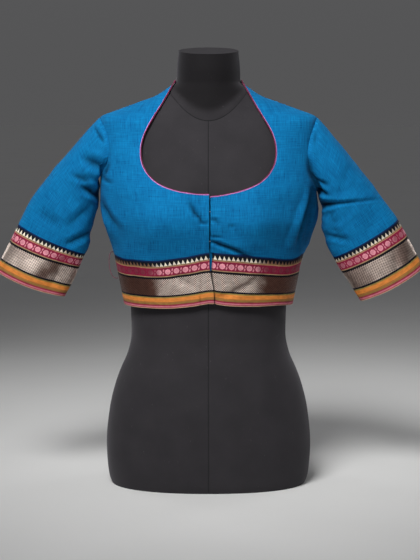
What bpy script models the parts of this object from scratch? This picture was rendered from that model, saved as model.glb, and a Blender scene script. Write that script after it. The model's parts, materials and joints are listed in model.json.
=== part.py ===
"""Front-opening blouse with elbow sleeves and woven borders, worn by a limbless tabletop dress form.

Metres, +Z up. The origin is the middle of the form's flat base, and the blouse's front faces -Y.
Sizes below are in millimetres. Every cloth piece is a wall lofted over one torso surface or one sleeve
surface, so neighbouring pieces meet at their seams with an even gap.
"""

import bmesh
import bpy
import numpy as np

MM = 0.001

# Driving sizes of the cloth
WALL = 1.0
SEAM_GAP = 0.5
SHOULDER_GAP = 1.1
PIPING_RADIUS = 1.2
PIPING_GAP = 0.3
LAYER_GAP = 0.7
PLACKET = {"left": -17.0, "right": 19.0, "low": 374.0, "high": 496.0}
LOOP_RADIUS = 0.6

# Sections of the dress form, from its base to the top of its neck
RING = {"z": 0, "half_width": 1, "front": 2, "back": 3, "roundness": 4, "centre_y": 5}
FORM_RINGS = np.array([
    # z, half_width, front, back, roundness, centre_y
    [0.0, 166.0, 98.0, 112.0, 2.25, 4.0],
    [12.0, 171.0, 103.0, 117.0, 2.25, 4.0],
    [70.0, 175.0, 108.0, 121.0, 2.25, 3.0],
    [130.0, 169.0, 107.0, 116.0, 2.2, 2.0],
    [170.0, 159.5, 103.0, 107.0, 2.2, 0.0],
    [198.0, 149.5, 98.0, 97.0, 2.2, -1.0],
    [225.0, 137.5, 92.0, 88.0, 2.2, -2.0],
    [258.0, 131.0, 87.0, 82.0, 2.2, -2.0],
    [300.0, 132.0, 88.0, 84.0, 2.2, -1.0],
    [350.0, 137.0, 93.0, 90.0, 2.25, 0.0],
    [400.0, 144.0, 101.0, 95.0, 2.3, 1.0],
    [450.0, 150.5, 112.0, 99.0, 2.3, 2.0],
    [500.0, 154.0, 111.0, 102.0, 2.35, 3.0],
    [545.0, 158.0, 97.0, 101.0, 2.35, 4.0],
    [585.0, 163.0, 81.0, 94.0, 2.4, 5.0],
    [612.0, 167.0, 69.0, 84.0, 2.3, 5.0],
    [623.0, 167.5, 64.5, 79.0, 2.0, 5.0],
    [636.0, 144.5, 61.0, 70.5, 1.6, 4.0],
    [648.0, 110.0, 59.0, 65.0, 1.5, 3.0],
    [657.0, 85.5, 57.5, 61.5, 1.6, 2.5],
    [668.0, 66.8, 56.0, 57.5, 1.8, 2.0],
    [683.0, 53.4, 54.0, 54.5, 2.0, 1.0],
    [700.0, 53.0, 54.0, 54.5, 2.0, 0.0],
    [734.0, 50.0, 50.0, 51.0, 2.0, -2.0],
])
# Heights of the form's rings, closer together where it curves most
FORM_LEVELS = [0, 5, 14, 45, 90, 130, 165, 198, 228, 258, 295, 335, 370, 400, 425, 450, 475, 500,
               525, 550, 575, 598, 615, 623, 629, 636, 643, 650, 657, 665, 674, 684, 700, 716, 734]
FORM_NECK_TILT = 0.14
FORM_POINTS_ROUND = 40

# Sections of the worn blouse's outer face, read as the form's are
BLOUSE_RINGS = np.array([
    # z, half_width, front, back, roundness, centre_y
    [296.0, 141.0, 95.5, 88.0, 2.3, -1.0],
    [310.0, 143.5, 96.5, 90.0, 2.3, -1.0],
    [350.0, 151.5, 101.0, 97.0, 2.3, 0.0],
    [395.0, 160.5, 110.0, 104.0, 2.3, 1.0],
    [425.0, 169.5, 119.0, 108.0, 2.25, 2.0],
    [458.0, 181.0, 126.0, 111.0, 2.2, 2.0],
    [480.0, 182.5, 124.5, 112.0, 2.2, 3.0],
    [505.0, 182.5, 119.0, 112.0, 2.35, 3.0],
    [540.0, 181.0, 104.5, 108.5, 2.4, 4.0],
    [570.0, 180.0, 91.5, 102.0, 2.5, 5.0],
    [600.0, 180.5, 78.0, 92.0, 2.5, 5.0],
    [616.0, 181.2, 71.0, 86.5, 2.4, 5.0],
    [623.0, 181.5, 68.0, 83.0, 2.1, 5.0],
    [636.0, 152.0, 65.5, 76.5, 1.65, 4.0],
    [648.0, 118.0, 63.5, 71.0, 1.5, 3.0],
    [657.0, 92.0, 62.0, 67.0, 1.6, 2.5],
    [668.0, 73.0, 60.5, 63.5, 1.8, 2.0],
    [683.0, 57.0, 58.0, 60.0, 2.0, 1.0],
    [700.0, 55.5, 56.5, 57.5, 2.0, 0.0],
])

# Fullness over the bust, added to the front sections
BUST = {"x": 80.0, "z": 452.0, "wide": 50.0, "tall": 58.0}
FORM_BUST_RISE = 23.0
BLOUSE_BUST_RISE = 15.0

# Where the blouse's edges run
SHOULDER_TIP_Z = 623.0
SHOULDER_NECK_Z = 683.0
BAND_TOP = {
    "right": np.array([[0.0, 406.0], [0.25, 398.0], [0.6, 391.0], [0.85, 391.0], [1.0, 395.0]]),
    "left": np.array([[0.0, 406.0], [0.25, 403.0], [0.63, 395.5], [0.85, 390.5], [1.0, 395.0]]),
}
BAND_BOTTOM = {
    "right": np.array([[0.0, 320.0], [0.2, 315.0], [0.5, 310.5], [1.0, 309.5]]),
    "left": np.array([[0.0, 321.5], [0.2, 316.5], [0.5, 314.0], [0.8, 313.0], [1.0, 309.5]]),
}
BACK_BAND_READ = 0.9
NECK_LOW = np.array([[0.0, 499.0], [30.0, 501.5], [60.0, 508.0], [82.0, 518.0], [96.0, 530.0]])
NECK_SIDE = np.array([
    [96.0, 530.0], [105.0, 548.0], [108.0, 570.0], [103.5, 594.0],
    [90.0, 620.0], [74.0, 645.0], [63.0, 665.0], [57.0, 683.0],
])
BACK_NECK = np.array([[0.0, 669.0], [0.4, 670.5], [0.75, 675.0], [1.0, 683.0]])
BACK_UNDERARM_ROW_Z = 509.0

# Edge of each front where it opens: height, x of the wearer's right edge, x of the left edge
OPENING = np.array([
    [300.0, 9.0, 9.6],
    [322.0, 9.0, 9.6],
    [343.0, 8.2, 8.8],
    [358.0, 5.4, 6.2],
    [373.0, 3.0, 4.6],
    [385.0, 1.8, 5.4],
    [406.0, 1.3, 6.4],
])
FRONT_EDGE = {"right": 1.3, "left": 2.0}

# The armhole seam: height as a share from underarm to shoulder tip, inset from the widest line
ARMHOLE_INSET = np.array([
    # share, front inset, back inset
    [0.0, 0.0, 0.0],
    [0.12, 7.0, 5.0],
    [0.3, 14.0, 10.0],
    [0.5, 16.0, 12.0],
    [0.75, 11.0, 8.0],
    [0.92, 3.5, 3.0],
    [1.0, 0.0, 0.0],
])

# The sleeves in front view, from the armhole to the cuff
SLEEVES = {
    "right": {
        "hand": -1.0,
        "underarm_z": 526.0,
        "lines": np.array([
            # share, outer_x, outer_z, underarm_x, underarm_z, half_depth
            [0.0, 181.5, 623.0, 222.0, 508.0, 52.0],
            [0.06, 193.5, 617.0, 218.0, 502.0, 50.0],
            [0.12, 203.5, 605.5, 195.0, 491.0, 48.0],
            [0.2, 217.0, 588.0, 187.0, 486.0, 46.0],
            [0.3, 237.5, 563.5, 186.5, 473.0, 44.0],
            [0.4, 259.0, 538.0, 194.5, 450.0, 42.0],
            [0.6, 297.0, 489.0, 201.0, 414.0, 38.0],
            [0.735, 321.5, 444.5, 208.5, 393.5, 35.0],
            [1.0, 361.0, 365.0, 244.2, 320.6, 30.0],
        ]),
    },
    "left": {
        "hand": 1.0,
        "underarm_z": 500.0,
        "lines": np.array([
            # share, outer_x, outer_z, underarm_x, underarm_z, half_depth
            [0.0, 181.5, 623.0, 186.0, 500.0, 52.0],
            [0.06, 192.5, 617.0, 194.0, 489.5, 50.0],
            [0.2, 220.0, 582.0, 192.5, 468.0, 46.0],
            [0.4, 256.0, 536.0, 192.0, 442.0, 42.0],
            [0.6, 291.0, 492.0, 199.5, 412.0, 38.0],
            [0.735, 319.5, 452.0, 211.3, 387.5, 35.0],
            [1.0, 365.0, 371.0, 258.5, 313.0, 30.0],
        ]),
    },
}
SLEEVE_BAND_FROM = 0.735
SLEEVE_SEAM_OUT = 0.8
CUFF_BOW = 4.0

# Largest folds over the torso: where each starts and ends, as a share of half width and a height
PANEL_FOLDS = {
    # share, height, end_share, end_height, depth, width
    "front": [(-0.11, 490.0, -0.01, 455.0, -2.0, 11.0), (0.01, 421.0, 0.22, 404.0, -2.0, 11.0),
              (-0.93, 500.0, -0.86, 420.0, 2.0, 14.0), (0.86, 512.0, 0.80, 415.0, 4.0, 14.0),
              (1.0, 470.0, 1.0, 408.0, 5.0, 20.0), (-1.0, 450.0, -1.0, 428.0, -3.0, 18.0)],
    "back": [(1.0, 470.0, 1.0, 408.0, 5.0, 20.0), (-1.0, 450.0, -1.0, 428.0, -3.0, 18.0),
             (-0.85, 500.0, -0.55, 440.0, -2.5, 14.0), (0.85, 490.0, 0.5, 435.0, -2.5, 14.0)],
    "hem": [(0.05, 325.0, 0.30, 372.0, -3.0, 11.0)],
}
# Sleeve folds: share of length, and turn in degrees from the outer line with the front positive
SLEEVE_FOLDS = {
    # share, turn, end_share, end_turn, depth, width
    "right": [(0.06, 75.0, 0.22, 60.0, -4.5, 10.0), (0.12, 120.0, 0.3, 100.0, -4.0, 9.0),
              (0.1, -110.0, 0.32, -90.0, -4.0, 11.0)],
    "left": [(0.05, 100.0, 0.2, 120.0, -5.0, 10.0), (0.38, 150.0, 0.34, 40.0, -3.0, 9.0),
             (0.1, -110.0, 0.32, -90.0, -4.0, 11.0)],
}
PANEL_FOLD_SCALE = (175.0, 1.0)
SLEEVE_FOLD_SCALE = (300.0, 0.84)
# Route of the hanger loop of thread at the wearer's right side seam
LOOP_ROUTE = np.array([
    # x, y, z
    [-161.3, -3.0, 396.0],
    [-163.6, -3.5, 396.8],
    [-166.3, -4.0, 393.8],
    [-168.0, -4.2, 387.0],
    [-168.4, -4.3, 379.0],
    [-167.4, -4.2, 368.5],
    [-165.0, -4.0, 360.0],
    [-161.6, -3.8, 354.3],
    [-157.3, -3.5, 351.8],
    [-153.3, -3.0, 351.6],
])

COLUMNS = {"opening_to_neck": 7, "neck_to_side": 10, "back_neck": 4, "back_side": 9}
ROWS = {"front_low": 9, "strap": 11, "back_low": 7, "back_high": 11, "band": 6}
SLEEVE_GRID = {"round": 28, "cloth": 13, "band": 5}
ROW_CROWDING = {"strap": 1.45, "back": 1.3}
BACK_CORNER_SHARE = 0.33
OPENING_COLUMNS = 6
FINE = 60

COLOURS = {
    # name: red, green, blue, roughness, metallic
    "blue_cotton": (0.008, 0.17, 0.40, 0.85, 0.0),
    "woven_border": (0.42, 0.24, 0.20, 0.55, 0.2),
    "pink_piping": (0.60, 0.10, 0.30, 0.7, 0.0),
    "form_cover": (0.035, 0.033, 0.036, 0.9, 0.0),
    "loop_thread": (0.30, 0.12, 0.14, 0.8, 0.0),
}


def clear_scene():
    for old in list(bpy.data.objects):
        bpy.data.objects.remove(old, do_unlink=True)


def curve_through(table, at, column=1):
    """A monotone cubic through the table's rows, read at one or many places of its first column."""
    x, y = table[:, 0], table[:, column]
    at = np.clip(np.asarray(at, float), x[0], x[-1])
    step = np.diff(x)
    slope = np.diff(y) / step
    tangent = np.empty_like(y)
    tangent[0], tangent[-1] = slope[0], slope[-1]
    for i in range(1, len(y) - 1):
        before, after = slope[i - 1], slope[i]
        if before * after <= 0:
            tangent[i] = 0.0
        else:
            near = 2 * step[i] + step[i - 1]
            far = step[i] + 2 * step[i - 1]
            tangent[i] = (near + far) / (near / before + far / after)
    i = np.clip(np.searchsorted(x, at, side="right") - 1, 0, len(step) - 1)
    t = (at - x[i]) / step[i]
    return (
        (2 * t**3 - 3 * t**2 + 1) * y[i]
        + (t**3 - 2 * t**2 + t) * step[i] * tangent[i]
        + (3 * t**2 - 2 * t**3) * y[i + 1]
        + (t**3 - t**2) * step[i] * tangent[i + 1]
    )


class Torso:
    """A torso-shaped surface given by level sections, with a soft fullness over the bust."""

    def __init__(self, rings, bust_rise):
        self.rings = rings
        self.bust_rise = bust_rise

    def at(self, z, name):
        return curve_through(self.rings, z, RING[name])

    def bust(self, x, z):
        """How far the front stands out over the bust, fading to nothing at the sides."""
        across = (np.abs(x) - BUST["x"]) / BUST["wide"]
        up = (z - BUST["z"]) / BUST["tall"]
        edge = np.clip(1 - (np.abs(x) / self.at(z, "half_width")) ** 4, 0, 1)
        return self.bust_rise * np.exp(-(across**2) - up**2) * edge

    def depth(self, x, z, side):
        """y of the surface over (x, z); side is -1 for the front and 1 for the back."""
        x, z = np.asarray(x, float), np.asarray(z, float)
        power = self.at(z, "roundness")
        share = np.clip(np.abs(x) / self.at(z, "half_width"), 0, 1)
        reach = self.at(z, "front" if side < 0 else "back")
        y = self.at(z, "centre_y") + side * reach * (1 - share**power) ** (1 / power)
        return y - self.bust(x, z) if side < 0 else y

    def level(self, x, y, z, side):
        """Zero on the surface, positive outside it."""
        power = self.at(z, "roundness")
        reach = self.at(z, "front" if side < 0 else "back")
        out = y + self.bust(x, z) if side < 0 else y
        across = np.abs(x) / self.at(z, "half_width")
        deep = np.maximum(side * (out - self.at(z, "centre_y")), 0) / reach
        return (across**power + deep**power) ** (1 / power) - 1

    def normals(self, points, side):
        """Unit normals out of the surface at points that lie on it."""
        x, y, z = points[..., 0], points[..., 1], points[..., 2]
        h = 0.5
        slope = np.stack([
            self.level(x + h, y, z, side) - self.level(x - h, y, z, side),
            self.level(x, y + h, z, side) - self.level(x, y - h, z, side),
            self.level(x, y, z + h, side) - self.level(x, y, z - h, side),
        ], axis=-1)
        return slope / np.linalg.norm(slope, axis=-1, keepdims=True)


FORM = Torso(FORM_RINGS, FORM_BUST_RISE)
BLOUSE = Torso(BLOUSE_RINGS, BLOUSE_BUST_RISE)


def shoulder_z(x):
    """Height of the blouse's shoulder line over x, where the section's half width is x."""
    z = np.linspace(SHOULDER_TIP_Z, SHOULDER_NECK_Z, 200)
    widths = BLOUSE.at(z, "half_width")
    return np.interp(x, widths[::-1], z[::-1])


def along(points, count):
    """The polyline resampled to count + 1 points with even steps."""
    steps = np.linalg.norm(np.diff(points, axis=0), axis=1)
    length = np.concatenate([[0], np.cumsum(steps)])
    at = np.linspace(0, length[-1], count + 1)
    return np.stack([np.interp(at, length, points[:, k]) for k in range(points.shape[1])], axis=1)


def on_torso(share, z, side):
    """Points of the blouse's surface at a share of its half width."""
    share, z = np.broadcast_arrays(np.asarray(share, float), np.asarray(z, float))
    x = share * BLOUSE.at(z, "half_width")
    return np.stack([x, BLOUSE.depth(x, z, side), z], axis=-1)


def row_evened(share, z, side, count):
    """(share, z) pairs along a row, spaced evenly over the surface that they lie on."""
    flat = np.stack([share, z], axis=1)
    points = on_torso(share, z, side)
    steps = np.linalg.norm(np.diff(points, axis=0), axis=1)
    length = np.concatenate([[0], np.cumsum(steps)])
    at = np.linspace(0, length[-1], count + 1)
    return np.stack([np.interp(at, length, flat[:, k]) for k in range(2)], axis=1)


def armhole(side, hand_name, share):
    """x and z of the armhole seam at a share of the way from underarm to shoulder tip."""
    low = SLEEVES[hand_name]["underarm_z"]
    z = low + (SHOULDER_TIP_Z - low) * share
    inset = curve_through(ARMHOLE_INSET, share, 1 if side < 0 else 2)
    return np.stack([BLOUSE.at(z, "half_width") - inset, z], axis=-1)


def blend_rows(low, high, count):
    """Rows of (share, z) from one row to another."""
    return [low + (high - low) * i / count for i in range(count + 1)]


def lifted_to_shoulder(x, z, share, rise):
    """The row's heights eased up to the shoulder seam, with its armhole end left on the armhole."""
    gap = shoulder_z(x) - z
    return z + (gap - gap[-1] * share**4) * rise**6


def strap_rows(hand_name):
    """Rows of (share, z) from the line between neck corner and underarm, up to the shoulder seam."""
    rows = []
    for i in range(ROWS["strap"] + 1):
        rise = 1 - (1 - i / ROWS["strap"]) ** ROW_CROWDING["strap"]
        neck = along(NECK_SIDE, FINE)
        left = np.array([np.interp(rise * FINE, np.arange(FINE + 1), neck[:, k]) for k in range(2)])
        right = armhole(-1, hand_name, rise)
        along_row = np.linspace(0, 1, FINE + 1)
        bend = np.sin(along_row * np.pi / 2)
        x = left[0] + (right[0] - left[0]) * bend
        z = lifted_to_shoulder(x, left[1] + (right[1] - left[1]) * bend, along_row, rise)
        if i == ROWS["strap"]:
            share = np.ones_like(x)
        else:
            share = np.minimum(x / BLOUSE.at(z, "half_width"), 1)
        rows.append(row_evened(share, z, -1, COLUMNS["neck_to_side"]))
    return rows


def front_sheet(hand_name):
    """Grid of (share, z) for a front: rows from the band up, and None where the neck opening is."""
    edge = FRONT_EDGE[hand_name]
    hand = SLEEVES[hand_name]["hand"]
    band_top = BAND_TOP[hand_name]
    strap = strap_rows(hand_name)
    corner = strap[0][0]
    x = np.linspace(hand * edge, NECK_LOW[-1, 0], FINE + 1)
    z = curve_through(NECK_LOW, np.abs(x))
    neck_row = row_evened(x / BLOUSE.at(z, "half_width"), z, -1, COLUMNS["opening_to_neck"])
    top = np.concatenate([neck_row[:-1], strap[0]])
    share = np.linspace(neck_row[0, 0], corner[0], FINE + 1)
    low_in = row_evened(share, curve_through(band_top, share), -1, COLUMNS["opening_to_neck"])
    share = np.sin(np.linspace(np.arcsin(corner[0]), np.pi / 2, FINE + 1))
    low_out = row_evened(share, curve_through(band_top, share), -1, COLUMNS["neck_to_side"])
    bottom = np.concatenate([low_in[:-1], low_out])
    bottom[:, 1] += SEAM_GAP / 2
    rows = blend_rows(bottom, top, ROWS["front_low"])
    blank = [[None] * COLUMNS["opening_to_neck"] for _ in strap[1:]]
    return [list(r) for r in rows] + [b + list(r) for b, r in zip(blank, strap[1:])]


def back_line(line, share):
    """Height of the border's edge behind: level, and at the side seam where both fronts' edges are."""
    return curve_through(line["right"], np.maximum(share, BACK_BAND_READ))


def back_half(hand_name):
    """Rows of (share, z) of half the back, from the middle to one side."""
    inner, outer = COLUMNS["back_neck"], COLUMNS["back_side"]
    low_z = SLEEVES[hand_name]["underarm_z"]
    neck_x = BLOUSE.at(SHOULDER_NECK_Z, "half_width")

    def split_row(z_of):
        share = np.linspace(0, BACK_CORNER_SHARE, FINE + 1)
        first = row_evened(share, z_of(share), 1, inner)
        share = np.sin(np.linspace(np.arcsin(BACK_CORNER_SHARE), np.pi / 2, FINE + 1))
        return np.concatenate([first[:-1], row_evened(share, z_of(share), 1, outer)])

    bottom = split_row(lambda s: back_line(BAND_TOP, s) + SEAM_GAP / 2)
    middle = split_row(lambda s: BACK_UNDERARM_ROW_Z + (low_z - BACK_UNDERARM_ROW_Z) * s**2)
    rows = blend_rows(bottom, middle, ROWS["back_low"])
    start_x = BACK_CORNER_SHARE * BLOUSE.at(BACK_UNDERARM_ROW_Z, "half_width")
    for i in range(1, ROWS["back_high"] + 1):
        rise = 1 - (1 - i / ROWS["back_high"]) ** ROW_CROWDING["back"]
        x_mid = start_x + (neck_x - start_x) * rise
        z_mid = BACK_UNDERARM_ROW_Z + (SHOULDER_NECK_Z - BACK_UNDERARM_ROW_Z) * rise
        side = armhole(1, hand_name, rise)
        s = np.linspace(0, 1, FINE + 1)
        x_in = x_mid * s
        z_in = z_mid + (curve_through(BACK_NECK, s) - SHOULDER_NECK_Z) * rise**3
        first = row_evened(x_in / BLOUSE.at(z_in, "half_width"), z_in, 1, inner)
        bend = np.sin(s * np.pi / 2)
        x_out = x_mid + (side[0] - x_mid) * bend
        z_out = lifted_to_shoulder(x_out, z_mid + (side[1] - z_mid) * bend, s, rise)
        share = np.minimum(x_out / BLOUSE.at(z_out, "half_width"), 1)
        if i == ROWS["back_high"]:
            share = np.ones_like(x_out)
        rows.append(np.concatenate([first[:-1], row_evened(share, z_out, 1, outer)]))
    return rows


def back_sheet():
    """Grid of (share, z) for the whole back, with negative shares on the wearer's right."""
    right, left = back_half("right"), back_half("left")
    rows = []
    for right_row, left_row in zip(right, left):
        mirrored = right_row[::-1] * np.array([-1, 1])
        rows.append(list(np.concatenate([mirrored[:-1], left_row])))
    return rows


def band_rows(low, high, count):
    """Rows of a border from its hem to just under the seam above it."""
    low, high = low.copy(), high.copy()
    high[:, 1] -= SEAM_GAP / 2
    return [list(r) for r in blend_rows(low, high, count)]


def front_band_sheet(hand_name):
    """Grid of (share, z) for half the border under a front; its opening edge slants."""
    hand = SLEEVES[hand_name]["hand"]
    column = 1 if hand_name == "right" else 2
    count = COLUMNS["opening_to_neck"] + COLUMNS["neck_to_side"]
    ends = []
    for line in (BAND_BOTTOM[hand_name], BAND_TOP[hand_name]):
        z0 = line[0, 1]
        start = hand * curve_through(OPENING, z0, column) / BLOUSE.at(z0, "half_width")
        share = np.sin(np.linspace(np.arcsin(start), np.pi / 2, FINE + 1))
        ends.append(row_evened(share, curve_through(line, share), -1, count))
    rows = band_rows(ends[0], ends[1], ROWS["band"])
    for row in rows:
        # the first columns follow the slanting edge of the opening
        z = row[0][1]
        start = hand * curve_through(OPENING, z, column) / BLOUSE.at(z, "half_width")
        shift = start - row[0][0]
        for k in range(OPENING_COLUMNS):
            row[k] = row[k] + np.array([shift * (1 - k / OPENING_COLUMNS), 0])
    return rows


def back_band_sheet():
    """Grid of (share, z) of the border under the back, right side to left."""
    half = COLUMNS["back_neck"] + COLUMNS["back_side"]
    ends = []
    for line in (BAND_BOTTOM, BAND_TOP):
        share = np.sin(np.linspace(0, np.pi / 2, FINE + 1))
        row = row_evened(share, back_line(line, share), 1, half)
        ends.append(np.concatenate([row[::-1][:-1] * np.array([-1, 1]), row]))
    return band_rows(ends[0], ends[1], ROWS["band"])


def placket_sheet():
    """Grid of (share, z) of the strip behind the opening, which both fronts lie on."""
    rows = []
    for z in np.linspace(PLACKET["low"], PLACKET["high"], 13):
        x = np.linspace(PLACKET["left"], PLACKET["right"], 5)
        top = curve_through(NECK_LOW, np.abs(x)) - 3.0
        height = np.minimum(np.full(5, z), top)
        rows.append([np.array(p) for p in zip(x / BLOUSE.at(height, "half_width"), height)])
    return rows


def fold_depth(u, v, folds, scale):
    """How far the cloth stands out of its plain surface; scale turns the rows' two units into millimetres."""
    total = np.zeros_like(u)
    point = np.stack([u * scale[0], v * scale[1]], axis=-1)
    for u0, v0, u1, v1, depth, width in folds:
        start = np.array([u0 * scale[0], v0 * scale[1]])
        run = np.array([u1 * scale[0], v1 * scale[1]]) - start
        t = np.clip(((point - start) @ run) / (run @ run), 0, 1)
        gap = np.linalg.norm(point - start - t[..., None] * run, axis=-1)
        total = total + depth * np.exp(-((gap / width) ** 2)) * np.sin(np.pi * (0.15 + 0.7 * t))
    return total


def wall(name, outer, cells, material):
    """A cloth wall: an open surface of cells through the outer points, thickened inwards."""
    mesh = bpy.data.meshes.new(name)
    mesh.from_pydata([tuple(p) for p in outer * MM], [], cells)
    obj = add_object(name, mesh, material)
    thicken = obj.modifiers.new("cloth thickness", "SOLIDIFY")
    thicken.thickness = WALL * MM
    thicken.offset = -1.0
    thicken.use_rim = True
    return obj


def add_object(name, data, material):
    obj = bpy.data.objects.new(name, data)
    COLLECTION.objects.link(obj)
    obj.parent = STAND
    data.materials.append(MATERIALS[material])
    if obj.type == "MESH":
        data.shade_smooth()
    return obj


def cells_of(rows):
    """Cells of four point numbers over a grid that may have blanks, and the points' places in it."""
    width = max(len(r) for r in rows)
    number, places = {}, []
    for r, row in enumerate(rows):
        for c, item in enumerate(row):
            if item is not None:
                number[(r, c)] = len(places)
                places.append(item)
    cells = []
    for r in range(len(rows) - 1):
        for c in range(width - 1):
            corners = [(r, c), (r, c + 1), (r + 1, c + 1), (r + 1, c)]
            if all(k in number for k in corners):
                cells.append([number[k] for k in corners])
    return cells, np.array(places)


def torso_piece(name, rows, side, hand, material, folds, sink=0.0):
    """A cloth wall over the torso surface from a grid of (share, z)."""
    cells, places = cells_of(rows)
    share, z = places[:, 0], places[:, 1]
    points = on_torso(np.abs(share), z, side)
    normal = BLOUSE.normals(points, side)
    sign = np.where(share < 0, -1.0, 1.0)
    for values in (points, normal):
        values[:, 0] *= sign
    lift = fold_depth(share * hand, z, PANEL_FOLDS[folds], PANEL_FOLD_SCALE) - sink
    outer = points + normal * lift[:, None]
    outer[:, 0] *= hand
    at_shoulder = (np.abs(share) > 0.999) & (z > SHOULDER_TIP_Z - 0.5)
    outer[:, 1] += side * np.where(at_shoulder, SHOULDER_GAP, SEAM_GAP) / 2
    faces_out = side * hand < 0
    if not faces_out:
        cells = [cell[::-1] for cell in cells]
    return wall(name, outer, cells, material)


def sleeve_surface(hand_name, share, turn):
    """Points of a sleeve's outer face; turn runs from the outer line over the front to the underarm."""
    table = SLEEVES[hand_name]["lines"]
    read = [curve_through(table, share, k) for k in range(1, 6)]
    top = np.stack([read[0], np.zeros_like(share), read[1]], axis=-1)
    low = np.stack([read[2], np.zeros_like(share), read[3]], axis=-1)
    middle, half = (top + low) / 2, (top - low) / 2
    deep = read[4]
    fore = np.array([0.0, -1.0, 0.0])
    round_it = np.sign(np.sin(turn)) * np.abs(np.sin(turn)) ** 0.9
    tube = middle + half * np.cos(turn)[..., None] + fore * (deep * round_it)[..., None]
    tube[..., 1] += 3.0 * (1 - share)
    along_arm = np.stack([half[..., 2], np.zeros_like(share), -half[..., 0]], axis=-1)
    along_arm /= np.linalg.norm(along_arm, axis=-1, keepdims=True)
    tube += along_arm * (CUFF_BOW * share**2 * np.sin(turn) ** 2)[..., None]
    rise = (1 + np.cos(turn)) / 2
    seam = np.empty_like(tube)
    for side in (-1, 1):
        xz = armhole(side, hand_name, rise)
        y = BLOUSE.depth(np.minimum(xz[..., 0], BLOUSE.at(xz[..., 1], "half_width")), xz[..., 1], side)
        pick = (np.sin(turn) >= 0) if side < 0 else (np.sin(turn) < 0)
        pick = pick & np.ones(seam.shape[:-1], bool)
        seam[pick] = np.stack([xz[..., 0] + SLEEVE_SEAM_OUT, y, xz[..., 1]], axis=-1)[pick]
    ease = np.clip(share / 0.3, 0, 1)
    weight = (ease * ease * (3 - 2 * ease))[..., None]
    return seam * (1 - weight) + tube * weight


def sleeve_grid(hand_name, shares, count):
    """Points of the sleeve at even turns, a ring for each share, with its folds."""
    turn = np.linspace(0, 2 * np.pi, count, endpoint=False)
    share, turn = np.meshgrid(shares, turn, indexing="ij")
    h = 1e-3
    points = sleeve_surface(hand_name, share, turn)
    forward = sleeve_surface(hand_name, np.minimum(share + h, 1), turn)
    backward = sleeve_surface(hand_name, np.maximum(share - h, 0), turn)
    up = sleeve_surface(hand_name, share, turn + 0.02) - sleeve_surface(hand_name, share, turn - 0.02)
    normal = np.cross(up, forward - backward)
    normal /= np.linalg.norm(normal, axis=-1, keepdims=True)
    degrees = np.degrees((turn + np.pi) % (2 * np.pi) - np.pi)
    lift = fold_depth(share, degrees, SLEEVE_FOLDS[hand_name], SLEEVE_FOLD_SCALE)
    lift *= np.clip(share / 0.05, 0, 1)
    return points + normal * lift[..., None]


def sleeve_piece(name, hand_name, shares, material):
    count = SLEEVE_GRID["round"]
    outer = sleeve_grid(hand_name, shares, count)
    hand = SLEEVES[hand_name]["hand"]
    outer[..., 0] *= hand
    cells = []
    for r in range(len(shares) - 1):
        for c in range(count):
            d = (c + 1) % count
            cell = [r * count + c, r * count + d, (r + 1) * count + d, (r + 1) * count + c]
            cells.append(cell if hand > 0 else cell[::-1])
    return wall(name, outer.reshape(-1, 3), cells, material)


def build_sleeves():
    gap = SEAM_GAP / 300.0
    for hand_name in SLEEVES:
        cloth = np.linspace(0.0, 1.0, SLEEVE_GRID["cloth"] + 1) * (SLEEVE_BAND_FROM - gap)
        sleeve_piece(f"sleeve_{hand_name}", hand_name, cloth, "blue_cotton")
        band = np.linspace(SLEEVE_BAND_FROM, 1.0, SLEEVE_GRID["band"] + 1)
        sleeve_piece(f"sleeve_band_{hand_name}", hand_name, band, "woven_border")


def build_form():
    """The dress form: level sections lofted from the flat base to the tilted top of the neck."""
    bm = bmesh.new()
    rings = []
    for z in FORM_LEVELS:
        turn = np.linspace(0, 2 * np.pi, FORM_POINTS_ROUND, endpoint=False)
        power = FORM.at(z, "roundness")
        across = np.sign(np.sin(turn)) * np.abs(np.sin(turn)) ** (2 / power)
        x = across * FORM.at(z, "half_width")
        front = FORM.depth(x, np.full_like(x, z), -1)
        back = FORM.depth(x, np.full_like(x, z), 1)
        y = np.where(np.cos(turn) > 0, front, back)
        lean = np.clip((z - SHOULDER_NECK_Z) / (FORM_RINGS[-1, 0] - SHOULDER_NECK_Z), 0, 1)
        zz = z + y * FORM_NECK_TILT * lean
        rings.append([bm.verts.new(np.array(p) * MM) for p in zip(x, y, zz)])
    for low, high in zip(rings, rings[1:]):
        for i in range(FORM_POINTS_ROUND):
            j = (i + 1) % FORM_POINTS_ROUND
            bm.faces.new([low[i], low[j], high[j], high[i]])
    bm.faces.new(rings[0][::-1])
    bm.faces.new(rings[-1])
    mesh = bpy.data.meshes.new("dress_form")
    bm.normal_update()
    bm.to_mesh(mesh)
    bm.free()
    return add_object("dress_form", mesh, "form_cover")


def tube(name, points, radius, sides_level, material):
    curve = bpy.data.curves.new(name, "CURVE")
    curve.dimensions = "3D"
    curve.bevel_depth = radius * MM
    curve.bevel_resolution = sides_level
    curve.use_fill_caps = True
    spline = curve.splines.new("POLY")
    spline.points.add(len(points) - 1)
    for p, q in zip(spline.points, points):
        p.co = (*(np.asarray(q) * MM), 1.0)
    return add_object(name, curve, material)


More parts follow.
